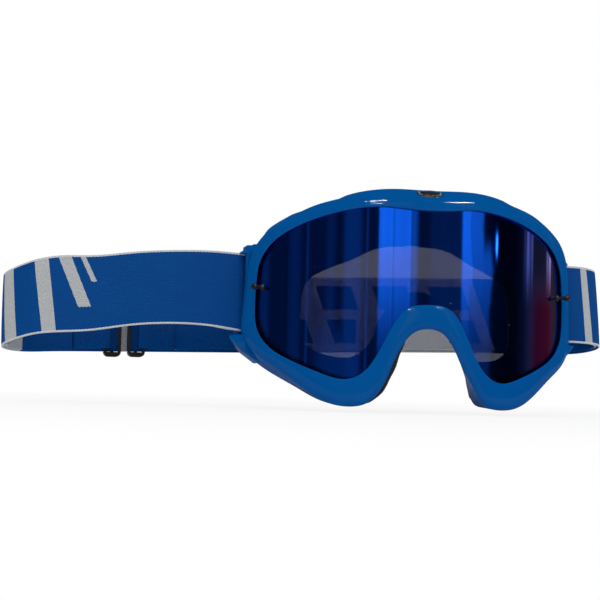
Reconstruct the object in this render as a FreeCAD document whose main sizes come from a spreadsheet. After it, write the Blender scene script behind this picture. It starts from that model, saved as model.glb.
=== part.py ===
import FreeCAD, Part
import math
import os

# Motorcycle goggles: a moulded frame holds a cylindrical lens, foam seals it to the face and a
# woven strap runs through a slot on each side and doubles back to an adjuster.
# +X to the wearer's left, -Y forwards, +Z up.  The origin is the middle of the face seal.

doc = FreeCAD.newDocument("goggles")
V = FreeCAD.Vector

SIZES = {
    # lens
    "lens_radius": 103.0,        # outer face of the lens
    "lens_reach": 38.5,          # front of the lens ahead of the face seal
    "lens_wall": 1.0,
    "lens_bite": 2.6,            # how far the lens runs into the rim's groove
    "groove_clearance": 0.12,
    "lip_front": 2.0,            # rim wall ahead of the lens
    "lip_back": 1.8,             # rim wall behind the lens
    # moulded frame
    "frame_wall": 2.4,
    "rim_bevel": 3.2,            # the rim's outer edge is bevelled by this much
    "flange_wall": 2.2,          # the flange that carries the face foam
    "loft_front": -44.0,
    "loft_back": 34.0,
    # face seal
    "face_radius": 105.0,        # rear face of the foam
    "base_foam": 9.0,
    "fleece_foam": 5.0,
    "foam_inset": 2.6,           # foam edge inside the flange's outer edge
    "foam_side": 79.0,           # half width of the foam ring
    "eye_play": 0.6,             # foam edge outside the flange's eye opening
    "vent_foam": 3.0,
    "vent_foam_play": 0.8,       # between the vent foam and the shell's wall
    "vent_foam_seat": 0.15,      # between its front and back edges and the shell
    "vent_depth": 7.0,
    # strap windows
    "slot_wall": 82.2,           # inner wall of the strap slot, from the middle
    "slot_half": 22.2,           # half height of the slot
    "bar_centre": 86.5,          # rear bar that the strap goes round
    "bar_depth": 15.3,
    "bar_wall": 4.2,
    "bar_width": 4.8,
    "bar_root": 0.4,             # how far the bar runs into the lugs at its ends
    "fin_reach": 91.0,           # tip of the pointed lug under the strap
    # strap
    "strap_width": 40.0,
    "strap_wall": 1.4,
    "strap_clearance": 0.3,
    "ply_gap": 0.3,              # between the outer strap and the doubled end inside it
    "back_run": 54.0,            # depth of the run behind the goggles
    "long_fold": 205.9,          # middle of the strap where it turns back on the -X side
    "short_fold": 108.4,         # middle of the strap where it turns on the +X side
    "droop_along": 0.019,        # the strap hangs lower along -X and towards the back
    "droop_back": 0.165,
    "strap_lift": 0.1,
    # strap adjusters
    "adjuster_gap": 3.6,         # between the two adjusters
    "adjuster_place": 140.8,     # middle of that gap, on the -X side
    "adjuster_play": 1.0,        # above and below the strap in the adjuster's window
    "adjuster_rail": 2.5,
    "adjuster_bar": 1.6,
    "adjuster_slot": 2.0,
    "adjuster_middle": 1.8,
    "adjuster_corner": 2.6,
    "adjuster_leaf": 1.3,        # thickness of its bars
    "loop_length": 16.0,         # sewn overlap of the strap's end, beyond the adjuster
    "loop_play": 0.15,           # between the sewn loop and the adjuster's bar
    # tear-off posts
    "post_place": 77.5,
    "post_lift": 2.0,
    "post_neck": 1.15,
    "post_head": 1.7,
    "post_length": 7.0,
    "post_washer": 2.4,
    "post_washer_wall": 0.8,
    "post_play": 0.05,           # between the post and the lens
    # plain oval insert on the brow
    "badge_half_width": 6.6,
    "badge_half_height": 3.0,
    "badge_wall": 1.2,
    "badge_tilt": 28.0,
    "badge_depth": -36.9,
    "badge_lift": 49.2,
    "badge_sink": 0.9,
    "badge_play": 0.1,           # round the insert in its recess
}

sheet = doc.addObject("Spreadsheet::Sheet", "Sizes")
for row, (name, value) in enumerate(SIZES.items(), start=1):
    sheet.set("A%d" % row, name)
    sheet.set("B%d" % row, str(value))
    sheet.setAlias("B%d" % row, name)
doc.recompute()


def size(name):
    return float(sheet.get(name))


def bind(thing, **bound):
    """Bind properties to expressions on the sheet; a place is written as base_x and so on."""
    for prop, text in bound.items():
        if prop.startswith("base_"):
            prop = "Placement.Base." + prop[-1]
        thing.setExpression(prop, text)
    return thing


def feature(name, shape):
    thing = doc.addObject("Part::Feature", name)
    thing.Shape = shape
    return thing


def boolean(kind, name, base, tool):
    thing = doc.addObject("Part::" + kind, name)
    thing.Base = base
    thing.Tool = tool
    return thing


def fuse(name, *shapes):
    thing = doc.addObject("Part::MultiFuse", name)
    thing.Shapes = list(shapes)
    return thing


def upright_cylinder(name, radius, centre_y, height="400"):
    """A cylinder about a vertical axis on the middle plane, tall enough to cut everything."""
    thing = doc.addObject("Part::Cylinder", name)
    return bind(thing, Radius=radius, Height=height, base_y=centre_y, base_z="-200")


def block(name, length, width, height, x, y, z):
    thing = doc.addObject("Part::Box", name)
    return bind(thing, Length=length, Width=width, Height=height, base_x=x, base_y=y, base_z=z)


# ---------------------------------------------------------------- outlines of the moulded frame

SIDES = ((-1, "right"), (1, "left"))    # the wearer's right is -X
POINTS_PER_EDGE = 5

# Half outlines from the brow to the nose, seen from the front: across, up.
LENS_EDGE = [(0, 39.9), (14, 40.6), (28, 41.2), (41, 39.3), (54, 35.6), (65, 30.6), (73, 24.6),
             (78, 16.6), (79.9, 5), (80.4, -8), (79, -20), (73.3, -28.8), (64, -35.0), (54, -39.6),
             (45, -43), (37.6, -43.4), (31, -39.9), (26, -33.2), (21.3, -24.2), (15.8, -13.6),
             (9, -7.6), (0, -6.4)]

# The same for the rim's outside, with how much the wall drifts outwards per millimetre of depth.
RIM_EDGE = [(0, 48.9, 0.10), (18, 48.9, 0.10), (34, 47.6, 0.08), (45, 44.7, 0.03), (56, 41.3, -0.03),
            (67, 36.8, -0.07), (76.3, 30.2, -0.08), (82.5, 21.4, -0.06), (85.2, 6, 0.0),
            (86.5, -9, 0.0), (86, -22, 0.02), (80.6, -33, 0.0), (71, -41.3, -0.03),
            (60, -49.2, -0.06), (48.8, -55.4, -0.07), (38, -57.4, -0.06), (28.4, -55, -0.10),
            (21.6, -47.6, -0.22), (16.8, -36.8, -0.27), (12, -26.8, -0.26), (6.6, -20.4, -0.18),
            (0, -18.7, -0.12)]

EYE_EDGE = [(0, 25.5), (20, 26), (37, 23.4), (49, 15.6), (55.5, 3), (55, -11), (48.5, -22.6),
            (38.5, -29.2), (29, -27.6), (21.6, -18), (14.6, -6), (7.6, 0.4), (0, 1.8)]


def lens_centre():
    return size("lens_radius") - size("lens_reach")


def rim_depth(across):
    """Depth of the rim's front face at a distance from the middle plane."""
    radius = size("lens_radius") + size("lip_front")
    return lens_centre() - math.sqrt(radius ** 2 - min(across, 0.98 * radius) ** 2)


def outward(points):
    """Unit normals of a half outline, pointing out of it."""
    normals = []
    for i, here in enumerate(points):
        before = points[i - 1] if i else (-points[1][0], points[1][1])
        after = points[i + 1] if i + 1 < len(points) else (-points[-2][0], points[-2][1])
        along = (after[0] - before[0], after[1] - before[1])
        length = math.hypot(*along)
        normals.append((-along[1] / length, along[0] / length))
    return normals


def grown(points, distance):
    """A half outline moved outwards by a distance."""
    return [(p[0] + n[0] * distance, p[1] + n[1] * distance)
            for p, n in zip(points, outward(points))]


def mirrored_wire(points, depth, paced_by=None):
    """A smooth closed wire through a half outline and its mirror image, at one depth.

    Outlines paced by the same points run in step, so a loft between them stays true.
    """
    right = [V(x, depth, z) for x, z in points]
    left = [V(-x, depth, z) for x, z in reversed(points[1:-1])]
    pace = paced_by or points
    strides = [math.dist(a, b) for a, b in zip(pace, pace[1:])]
    places = [0.0]
    for stride in strides + strides[::-1]:
        places.append(places[-1] + stride)
    curve = Part.BSplineCurve()
    curve.interpolate(Points=right + left, PeriodicFlag=True, Parameters=places)
    last = len(points) - 1
    joints = list(range(0, last, POINTS_PER_EDGE)) + [last]
    joints += [2 * last - i for i in reversed(joints[:-1])]
    edges = []
    for start, end in zip(joints, joints[1:]):
        stretch = curve.copy()
        stretch.segment(places[start], places[end])
        edges.append(stretch.toShape())
    return Part.Wire(edges)


def rim_outline(depth, inset=0.0):
    """The rim's half outline carried to a depth along its drift, then moved inwards."""
    edge = [(x, z) for x, z, drift in RIM_EDGE]
    normals = outward(edge)
    moved = []
    for (x, z, drift), (nx, nz) in zip(RIM_EDGE, normals):
        step = drift * (depth - rim_depth(x)) - inset
        moved.append((max(x + nx * step, 0.0), z + nz * step))
    return moved


def rim_loft(name, inset):
    """The solid inside the rim's outer wall, less an inset: straight lines from front to back."""
    pace = [(x, z) for x, z, drift in RIM_EDGE]
    front, back = [mirrored_wire(rim_outline(size(place), inset), size(place), pace)
                   for place in ("loft_front", "loft_back")]
    walls = [Part.makeRuledSurface(a, b) for a, b in zip(front.Edges, back.Edges)]
    skin = Part.makeShell(walls + [Part.Face(front), Part.Face(back)])
    skin.sewShape()
    solid = Part.makeSolid(Part.Shell(skin.Faces))
    if solid.Volume < 0:
        solid.reverse()
    return feature(name, solid)


def sight_extrusion(name, wire, length):
    """A closed wire extruded along the line of sight, from front to back."""
    thing = doc.addObject("Part::Extrusion", name)
    thing.Base = feature(name + "_outline", wire)
    thing.DirMode = "Custom"
    thing.Dir = V(0, 1, 0)
    thing.Solid = True
    thing.LengthFwd = length
    return thing


def prism(name, points, depth_from, depth_to):
    """A smooth half outline and its mirror image, from one depth to another."""
    return sight_extrusion(name, mirrored_wire(points, depth_from), depth_to - depth_from)


def straight_prism(name, corners, depth_from, depth_to):
    """A whole outline of straight runs, from one depth to another: foam cut with a blade."""
    wire = Part.makePolygon([V(x, depth_from, z) for x, z in corners + corners[:1]])
    return sight_extrusion(name, wire, depth_to - depth_from)


def mirrored(points):
    """A half outline followed by its mirror image."""
    return points + [(-x, z) for x, z in reversed(points[1:-1])]


# ---------------------------------------------------------------- frame: one moulded shell

LENS_AXIS = "Sizes.lens_radius - Sizes.lens_reach"
FLANGE_RADIUS = "Sizes.face_radius + Sizes.fleece_foam + Sizes.base_foam"


def flange_depth(across, thickness=0.0):
    """Depth of the flange's rear face, or of a surface parallel to it."""
    radius = size("face_radius") + size("fleece_foam") + size("base_foam") + thickness
    return size("face_radius") - math.sqrt(radius ** 2 - across ** 2)


def strap_front():
    """Depth of the strap's middle where it passes in front of the rear bar."""
    return (size("bar_depth") - size("bar_wall") / 2 - size("strap_clearance")
            - size("strap_wall") / 2)


def rim_edges(shape):
    """Edges where the rim's domed front meets its outer wall."""
    radius = size("lens_radius") + size("lip_front")
    found = []
    for number, edge in enumerate(shape.Edges, start=1):
        middle = edge.valueAt((edge.FirstParameter + edge.LastParameter) / 2)
        if abs(math.hypot(middle.x, middle.y - lens_centre()) - radius) < 0.01:
            found.append(number)
    return found


def wing(side, name):
    """The lug that carries the rear bar: a plan profile met by a front profile."""
    bar_tip = size("bar_centre") + size("bar_width") - size("bar_wall") / 2
    tip = size("fin_reach")
    back = size("bar_depth") + size("bar_wall") / 2
    front = size("bar_depth") - size("bar_wall") / 2
    half = size("slot_half")
    plan = [(76, 3), (84, 5.5), (87.5, 9.2), (tip, front), (tip, back), (86, 21), (76, 19)]
    face = [(76, 28), (83, 25), (bar_tip, half + size("bar_root")), (bar_tip, 0), (tip, 0),
            (tip, -half - 1.6), (84.5, -31), (76, -37)]
    plan_wire = Part.makePolygon([V(side * x, y, -60) for x, y in plan + plan[:1]])
    face_wire = Part.makePolygon([V(side * x, -10, z) for x, z in face + face[:1]])
    plan_solid = feature("wing_plan_" + name, Part.Face(plan_wire).extrude(V(0, 0, 120)))
    face_solid = feature("wing_face_" + name, Part.Face(face_wire).extrude(V(0, 50, 0)))
    lug = boolean("Common", "wing_solid_" + name, plan_solid, face_solid)
    gap = block("wing_gap_" + name, "200", "100", "2 * Sizes.slot_half", "-100", "-40",
                "-Sizes.slot_half")
    return boolean("Cut", "wing_" + name, lug, gap)


def rear_bar(side, name):
    """The upright bar that the strap goes round, with rounded edges."""
    reach = size("bar_width") - size("bar_wall")
    rounds = []
    for label, offset in (("inner", 0.0), ("outer", reach)):
        post = doc.addObject("Part::Cylinder", "bar_%s_%s" % (label, name))
        bind(post, Radius="Sizes.bar_wall / 2", Height="2 * Sizes.slot_half + 2 * Sizes.bar_root",
             base_x="%d * (Sizes.bar_centre + %.3f)" % (side, offset), base_y="Sizes.bar_depth",
             base_z="-Sizes.slot_half - Sizes.bar_root")
        rounds.append(post)
    start = "Sizes.bar_centre" if side > 0 else "-Sizes.bar_centre - (%s)" % reach
    web = block("bar_web_" + name, "Sizes.bar_width - Sizes.bar_wall", "Sizes.bar_wall",
                "2 * Sizes.slot_half + 2 * Sizes.bar_root", start,
                "Sizes.bar_depth - Sizes.bar_wall / 2", "-Sizes.slot_half - Sizes.bar_root")
    return fuse("rear_bar_" + name, web, *rounds)


def slot_cut(side, name):
    """Room for the strap behind the rim's edge, open to the side and to the back."""
    start = "Sizes.slot_wall" if side > 0 else "-Sizes.slot_wall - 30"
    front = "Sizes.bar_depth - Sizes.bar_wall / 2 - Sizes.strap_wall - 2 * Sizes.strap_clearance"
    return block("strap_slot_" + name, "30", "40", "2 * Sizes.slot_half", start, front,
                 "-Sizes.slot_half")


def wall_keeper(side, name):
    """Keeps the inner wall of the strap slot in place when the shell is hollowed."""
    wall = "(Sizes.slot_wall - Sizes.frame_wall)"
    start = wall if side > 0 else "-%s - 30" % wall
    half = "(Sizes.slot_half + Sizes.frame_wall)"
    return block("slot_keeper_" + name, "30", "60", "2 * " + half, start, "0", "-" + half)


# Vents: distance from the middle, where the cut starts, length along the wall.
TOP_VENTS = [(12, 30, 15), (33.5, 28, 15), (50.5, 22, 10)]
CHEEK_VENTS = [(38, -72, 12), (56, -68, 11)]
VENT_REACH = 34


def vent_cuts():
    """Slots through the brow and under each cheek, for air."""
    cuts = []
    for across, up, length in TOP_VENTS + CHEEK_VENTS:
        for side in (-1, 1):
            front = lens_centre() - math.sqrt((size("lens_radius") - size("lens_wall")
                                               - size("lip_back")) ** 2 - across ** 2)
            middle = (front + flange_depth(across, size("flange_wall"))) / 2
            corner = V(side * across - length / 2, middle - size("vent_depth") / 2, up)
            cuts.append(Part.makeBox(length, size("vent_depth"), VENT_REACH, corner))
    return feature("vents", Part.makeCompound(cuts))


def badge_axis(name, half_width, half_height, thickness, sink):
    """An oval plate on the brow, tilted back to lie on the rolled edge."""
    thing = doc.addObject("Part::Ellipse", name + "_oval")
    thing.MajorRadius = half_width
    thing.MinorRadius = half_height
    plate = doc.addObject("Part::Extrusion", name)
    plate.Base = thing
    plate.DirMode = "Custom"
    plate.Dir = V(0, 0, 1)
    plate.LengthFwd = thickness
    plate.Solid = True
    tilt = math.radians(size("badge_tilt"))
    normal = V(0, -math.sin(tilt), math.cos(tilt))
    place = V(0, size("badge_depth"), size("badge_lift")) - normal * sink
    plate.Placement = FreeCAD.Placement(place, FreeCAD.Rotation(V(1, 0, 0), size("badge_tilt")))
    return plate


def lens_blank(name, spare):
    """The lens outline run into the groove, bent to the lens cylinder, with or without play."""
    outline = prism(name + "_sight", grown(LENS_EDGE, size("lens_bite") + spare), -60, 40)
    outer = upright_cylinder(name + "_outer", "Sizes.lens_radius + %s" % spare, LENS_AXIS)
    inner = upright_cylinder(name + "_inner", "Sizes.lens_radius - Sizes.lens_wall - %s" % spare,
                             LENS_AXIS)
    tube = boolean("Cut", name + "_tube", outer, inner)
    front = block(name + "_front", "400", "200", "300", "-200", "-160", "-150")
    half = boolean("Common", name + "_half", tube, front)
    return boolean("Common", name, half, outline)


def make_frame():
    outside = rim_loft("outside", 0.0)
    domed = boolean("Common", "domed", outside,
                    upright_cylinder("rim_face", "Sizes.lens_radius + Sizes.lip_front", LENS_AXIS))
    doc.recompute()
    bevelled = doc.addObject("Part::Chamfer", "bevelled")
    bevelled.Base = domed
    bevelled.Edges = [(n, size("rim_bevel"), size("rim_bevel")) for n in rim_edges(domed.Shape)]

    rim_inside = "Sizes.lens_radius - Sizes.lens_wall - Sizes.lip_back"
    cavity = boolean("Common", "cavity", rim_loft("inner_wall", size("frame_wall")),
                     upright_cylinder("rim_inside", rim_inside, LENS_AXIS))
    shaped = boolean("Cut", "cavity_shaped", cavity,
                     fuse("keepers", *[wall_keeper(side, name) for side, name in SIDES]))
    flange_front = upright_cylinder("flange_front", FLANGE_RADIUS + " + Sizes.flange_wall",
                                    "Sizes.face_radius")
    hollow = boolean("Cut", "hollow", shaped, flange_front)

    sight = prism("lens_sight", LENS_EDGE, -60, 40)
    front_hole = boolean("Cut", "front_hole", sight,
                         upright_cylinder("rim_back", rim_inside, LENS_AXIS))
    eye_hole = prism("eye_hole", EYE_EDGE, -30, 60)
    groove = lens_blank("groove", size("groove_clearance"))
    flange_back = upright_cylinder("flange_back", FLANGE_RADIUS, "Sizes.face_radius")
    slots = fuse("slots", *[slot_cut(side, name) for side, name in SIDES])
    badge_seat = badge_axis("badge_seat", size("badge_half_width") + size("badge_play"),
                            size("badge_half_height") + size("badge_play"), 6,
                            size("badge_sink"))
    body = fuse("winged", bevelled, *[wing(side, name) for side, name in SIDES])
    for label, tool in (("shell", hollow), ("shell_front", front_hole), ("shell_eyes", eye_hole),
                        ("shell_back", flange_back), ("shell_groove", groove),
                        ("shell_slots", slots), ("shell_vents", vent_cuts()),
                        ("shell_badge", badge_seat)):
        body = boolean("Cut", label, body, tool)
    return fuse("frame", body, *[rear_bar(side, name) for side, name in SIDES])


# ---------------------------------------------------------------- lens and its tear-off posts

def lens_point(across, up):
    """A point on the lens's outer face, and the direction that the lens faces there."""
    radius = size("lens_radius")
    normal = V(across / radius, -math.sqrt(1 - (across / radius) ** 2), 0)
    return V(0, lens_centre(), up) + normal * radius, normal


def stand(thing, side):
    """Stand a piece made along +Z on the lens where a tear-off post goes."""
    place, normal = lens_point(side * size("post_place"), size("post_lift"))
    thing.Placement = FreeCAD.Placement(place, FreeCAD.Rotation(V(0, 0, 1), normal))
    return thing


def make_lens():
    holes = []
    for side, name in SIDES:
        hole = doc.addObject("Part::Cylinder", "post_hole_" + name)
        bind(hole, Radius="Sizes.post_neck + Sizes.post_play", Height="6")
        place, normal = lens_point(side * size("post_place"), size("post_lift"))
        hole.Placement = FreeCAD.Placement(place - normal * 3, FreeCAD.Rotation(V(0, 0, 1), normal))
        holes.append(hole)
    return boolean("Cut", "lens", lens_blank("lens_sheet", 0.0), fuse("post_holes", *holes))


def make_post(side, name):
    """A turned nylon rivet: washer inside the lens, shoulder outside, neck and bulb head."""
    neck = size("post_neck")
    head = size("post_head")
    tall = size("post_length")
    near = -size("lens_wall") - size("post_play")
    far = near - size("post_washer_wall")
    washer = size("post_washer")
    profile = [(0, far), (washer, far), (washer, near), (neck, near), (neck, tall - 2.7),
               (head, tall - 2.1), (head, tall - 0.5), (head - 0.5, tall), (0, tall)]
    outline = Part.Face(Part.makePolygon([V(r, 0, z) for r, z in profile + profile[:1]]))
    turned = outline.revolve(V(0, 0, 0), V(0, 0, 1), 360)
    return stand(feature("tearoff_post_" + name, turned), side)


# ---------------------------------------------------------------- face foam and vent foam

def foam_edge():
    """Half outline of the face foam: inside the flange's outer edge and clear of the straps."""
    edge = []
    normals = outward([(x, z) for x, z, drift in RIM_EDGE])
    for (x, z, drift), (nx, nz) in zip(RIM_EDGE, normals):
        step = drift * (flange_depth(min(x, 88)) - rim_depth(x)) - size("foam_inset")
        edge.append((min(max(x + nx * step, 0), size("foam_side")), z + nz * step))
    return edge


def foam_trim(name, side, label):
    """Squares the foam's side edge to the flange that it is glued on."""
    across = size("foam_side")
    turn = math.asin(across / (size("face_radius") + size("fleece_foam") + size("base_foam")))
    waste = doc.addObject("Part::Box", name + "_trim_" + label)
    waste.Length = 60
    waste.Width = 80
    waste.Height = 200
    spin = FreeCAD.Rotation(V(0, 0, 1), math.degrees(side * turn))
    corner = spin.multVec(V(0 if side > 0 else -60, -20, -100))
    waste.Placement = FreeCAD.Placement(V(side * across, flange_depth(across), 0) + corner, spin)
    return waste


def make_foam(name, front, back):
    """One layer of the foam ring, between two upright cylinders."""
    ring = boolean("Cut", name + "_ring",
                   straight_prism(name + "_sight", mirrored(foam_edge()), -40, 60),
                   straight_prism(name + "_eyes", mirrored(grown(EYE_EDGE, size("eye_play"))),
                                  -50, 70))
    near = upright_cylinder(name + "_near", front, "Sizes.face_radius")
    far = upright_cylinder(name + "_far", back, "Sizes.face_radius")
    layer = boolean("Cut", name + "_layer", boolean("Common", name + "_band", ring, near), far)
    trims = fuse(name + "_trims", *[foam_trim(name, side, label) for side, label in SIDES])
    return boolean("Cut", name, layer, trims)


def lining(places, depth):
    """Corners of a strip that lies inside the shell's wall between places on the rim's outline.

    The depth is the one where the wall stands furthest in.
    """
    near = size("frame_wall") + size("vent_foam_play")
    outer = rim_outline(depth, near)
    inner = rim_outline(depth, near + size("vent_foam"))
    return [outer[i] for i in places] + [inner[i] for i in reversed(places)]


# Points of the rim's outline that the vent foam runs between.
BROW_LINING = [0, 1, 2, 3, 4]
CHEEK_LINING = [13, 14, 15, 16]


def make_vent_foams():
    """Thin filter foam glued inside the brow vents and inside each cheek's vents."""
    rim_back = "Sizes.lens_radius - Sizes.lens_wall - Sizes.lip_back - Sizes.vent_foam_seat"
    flange = FLANGE_RADIUS + " + Sizes.flange_wall + Sizes.vent_foam_seat"
    brow = lining(BROW_LINING, -size("lens_reach"))
    outlines = {"brow": mirrored(brow)}
    for side, name in SIDES:
        outlines["cheek_" + name] = [(side * x, z) for x, z in lining(CHEEK_LINING, 0)]
    foams = []
    for place, corners in outlines.items():
        name = "vent_foam_" + place
        strip = straight_prism(name + "_strip", corners, -50, 40)
        front = boolean("Common", name + "_front", strip,
                        upright_cylinder(name + "_rim", rim_back, LENS_AXIS))
        foams.append(boolean("Cut", name, front,
                             upright_cylinder(name + "_flange", flange, "Sizes.face_radius")))
    return foams


# ---------------------------------------------------------------- strap

def offset_path(corners, radii, distance):
    """Edges beside a path of straight runs joined by arcs, at a distance to its left."""
    edges = []
    last = None
    for i, here in enumerate(corners):
        if i in (0, len(corners) - 1):
            other = corners[1] if i == 0 else corners[-2]
            along = (other - here) if i == 0 else (here - other)
            along.normalize()
            point = here + V(-along.y, along.x, 0) * distance
            if last is not None:
                edges.append(Part.LineSegment(last, point).toShape())
            last = point
            continue
        before = (here - corners[i - 1]).normalize()
        after = (corners[i + 1] - here).normalize()
        turn = math.atan2(before.cross(after).z, before.dot(after))
        hand = 1 if turn > 0 else -1
        radius = radii[i]
        setback = radius * math.tan(abs(turn) / 2)
        centre = here - before * setback + V(-before.y, before.x, 0) * hand * radius
        reach = radius - hand * distance
        first = centre - V(-before.y, before.x, 0) * hand * reach
        final = centre - V(-after.y, after.x, 0) * hand * reach
        bisect = (after - before).normalize()
        middle = centre - bisect * reach
        if (first - last).Length > 1e-6:
            edges.append(Part.LineSegment(last, first).toShape())
        edges.append(Part.Arc(first, middle, final).toShape())
        last = final
    return edges


def ribbon(name, corners, radii, wall):
    """A strip of webbing on edge along a plan path, trimmed to the tilted band of the strap."""
    path = [V(x, y, 0) for x, y in corners]
    one = offset_path(path, radii, wall / 2)
    other = offset_path(path, radii, -wall / 2)
    ends = []
    for i in (0, -1):
        a = one[i].Vertexes[i].Point
        b = other[i].Vertexes[i].Point
        ends.append(Part.LineSegment(a, b).toShape())
    outline = Part.Wire(Part.__sortEdges__(one + other + ends))
    upright = Part.Face(outline).extrude(V(0, 0, 100))
    upright.translate(V(0, 0, -50))
    return boolean("Common", name, feature(name + "_path", upright), strap_band(name + "_band"))


def strap_band(name):
    """The slab, one strap width thick, that the whole strap lies in."""
    normal = V(-size("droop_along"), size("droop_back"), 1).normalize()
    slab = doc.addObject("Part::Box", name)
    slab.Length = 600
    slab.Width = 300
    bind(slab, Height="Sizes.strap_width")
    turn = FreeCAD.Rotation(V(0, 0, 1), normal)
    corner = turn.multVec(V(300, 150, size("strap_width") / 2))
    slab.Placement = FreeCAD.Placement(V(0, strap_front(), size("strap_lift")) - corner, turn)
    return slab


def strap_height(across, depth):
    """Height of the strap's middle line at a place in plan."""
    return (size("strap_lift") + size("droop_along") * across
            - size("droop_back") * (depth - strap_front()))


def ply_step():
    return size("strap_wall") + size("ply_gap")


def behind_bar():
    """Depth of the strap's middle where it comes back behind the rear bar."""
    return 2 * size("bar_depth") - strap_front()


SHORT_RUN = 0.02     # straight run left between two turns that nearly meet


def fold_radius(front, back):
    return (back - front) / 2 - SHORT_RUN


def short_turn():
    """Radius of the strap's turns on the +X side, where it is folded close to the frame."""
    room = size("short_fold") - size("bar_centre") - size("strap_clearance")
    return min(room, fold_radius(strap_front(), size("back_run")))


def make_strap():
    """The outer run: round the -X bar, out, back behind the goggles and round the +X bar."""
    front = strap_front()
    behind = behind_bar()
    back = size("back_run")
    bend = fold_radius(front, behind)
    inner = size("bar_centre") - bend
    end = size("bar_centre") + size("bar_width") - size("bar_wall")
    fold = fold_radius(front, back)
    far = size("long_fold")
    near = size("short_fold")
    tight = short_turn()
    corners = [(-end, behind), (-inner, behind), (-inner, front), (-far, front), (-far, back),
               (near, back), (near, front), (inner, front), (inner, behind), (end, behind)]
    radii = [0, bend, bend, fold, fold, tight, tight, bend, bend, 0]
    return ribbon("strap", corners, radii, size("strap_wall"))


def adjuster_length():
    return 2 * size("adjuster_bar") + 2 * size("adjuster_slot") + size("adjuster_middle")


def adjuster_end(side, offset):
    """Place along X, measured from the middle of the gap outwards to one side."""
    return -size("adjuster_place") + side * (size("adjuster_gap") / 2 + offset)


def tail_depth():
    return size("back_run") - ply_step()


def make_tails():
    """The doubled ends of the strap, from each rear bar round inside to its adjuster."""
    behind = behind_bar()
    bar_end = (size("bar_centre") + size("bar_width") - size("bar_wall")
               + size("strap_clearance"))
    front = strap_front() + ply_step()
    back = tail_depth()
    fold = fold_radius(front, back)
    far = size("long_fold") - ply_step()
    stop = adjuster_end(-1, adjuster_length() + size("loop_length")) - size("strap_clearance")
    corners = [(-bar_end, behind), (-bar_end - 8, behind), (-bar_end - 24, front), (-far, front),
               (-far, back), (stop, back)]
    right = ribbon("strap_tail_right", corners, [0, 24, 24, fold, fold, 0], size("strap_wall"))
    near = size("short_fold") - ply_step()
    tight = short_turn() - ply_step()
    wide = min(back - behind - tight, near - bar_end) - SHORT_RUN
    stop = adjuster_end(1, adjuster_length() + size("loop_length")) + size("strap_clearance")
    left = ribbon("strap_tail_left", [(bar_end, behind), (near, behind), (near, back), (stop, back)],
                  [0, wide, tight, 0], size("strap_wall"))
    return [right, left]


def make_tail_loop(side, name):
    """The strap's end, turned round the adjuster's far bar and sewn back on itself."""
    outer = tail_depth()
    bar_back = outer - size("strap_wall") / 2 - size("loop_play")
    leg = bar_back - size("adjuster_leaf") - size("loop_play") - size("strap_wall") / 2
    sewn = outer - size("strap_wall") - size("loop_play")
    bend = fold_radius(leg, outer)
    bar_inner = adjuster_end(side, adjuster_length() - size("adjuster_bar"))
    turn = bar_inner - side * (bend - 0.2)
    start = adjuster_end(side, adjuster_length() + size("loop_length"))
    bar_outer = adjuster_end(side, adjuster_length())
    corners = [(start, outer), (turn, outer), (turn, leg), (bar_outer + side * 1.6, leg),
               (bar_outer + side * 5.4, sewn), (start - side * 1.0, sewn)]
    return ribbon("strap_end_" + name, corners, [0, bend, bend, 3, 3, 0], size("strap_wall"))


# ---------------------------------------------------------------- strap adjusters

def make_adjuster(side, name):
    """A moulded slider: the end bars lie inside the strap and the middle bar outside it."""
    length = "(2 * Sizes.adjuster_bar + 2 * Sizes.adjuster_slot + Sizes.adjuster_middle)"
    inner_face = "(1.5 * Sizes.strap_wall + Sizes.ply_gap + %.2f + Sizes.adjuster_leaf)" % size("loop_play")
    outer_face = "(Sizes.strap_wall / 2 + Sizes.strap_clearance + Sizes.adjuster_leaf)"
    open_tall = "(Sizes.strap_width + 2 * Sizes.adjuster_play)"
    tall = "(Sizes.strap_width + 2 * Sizes.adjuster_play + 2 * Sizes.adjuster_rail)"
    label = "adjuster_" + name
    plate = block(label + "_plate", length, "%s + %s" % (inner_face, outer_face), tall,
                  "-%s / 2" % length, "-" + inner_face, "-%s / 2" % tall)
    doc.recompute()
    corners = [n for n, e in enumerate(plate.Shape.Edges, start=1)
               if abs(e.tangentAt(e.FirstParameter).y) > 0.9]
    rounded = doc.addObject("Part::Fillet", label + "_rounded")
    rounded.Base = plate
    rounded.Edges = [(n, size("adjuster_corner"), size("adjuster_corner")) for n in corners]
    window = block(label + "_window", length + " - 2 * Sizes.adjuster_bar", "40", open_tall,
                   "-%s / 2 + Sizes.adjuster_bar" % length, "-20", "-%s / 2" % open_tall)
    relief = block(label + "_relief", "40", "40", open_tall, "-20",
                   "Sizes.adjuster_leaf - " + inner_face, "-%s / 2" % open_tall)
    middle = block(label + "_middle", "Sizes.adjuster_middle", "Sizes.adjuster_leaf",
                   open_tall + " + 1", "-Sizes.adjuster_middle / 2",
                   "%s - Sizes.adjuster_leaf" % outer_face, "-%s / 2 - 0.5" % open_tall)
    opened = boolean("Cut", label + "_opened", rounded, fuse(label + "_space", window, relief))
    whole = fuse("strap_adjuster_" + name, opened, middle)
    doc.recompute()
    across = adjuster_end(side, adjuster_length() / 2)
    piece = feature("strap_adjuster_%s_body" % name, whole.Shape.copy())
    piece.Placement = FreeCAD.Placement(V(across, size("back_run"),
                                          strap_height(across, size("back_run"))),
                                        FreeCAD.Rotation())
    return piece


# ---------------------------------------------------------------- the whole assembly

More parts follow.
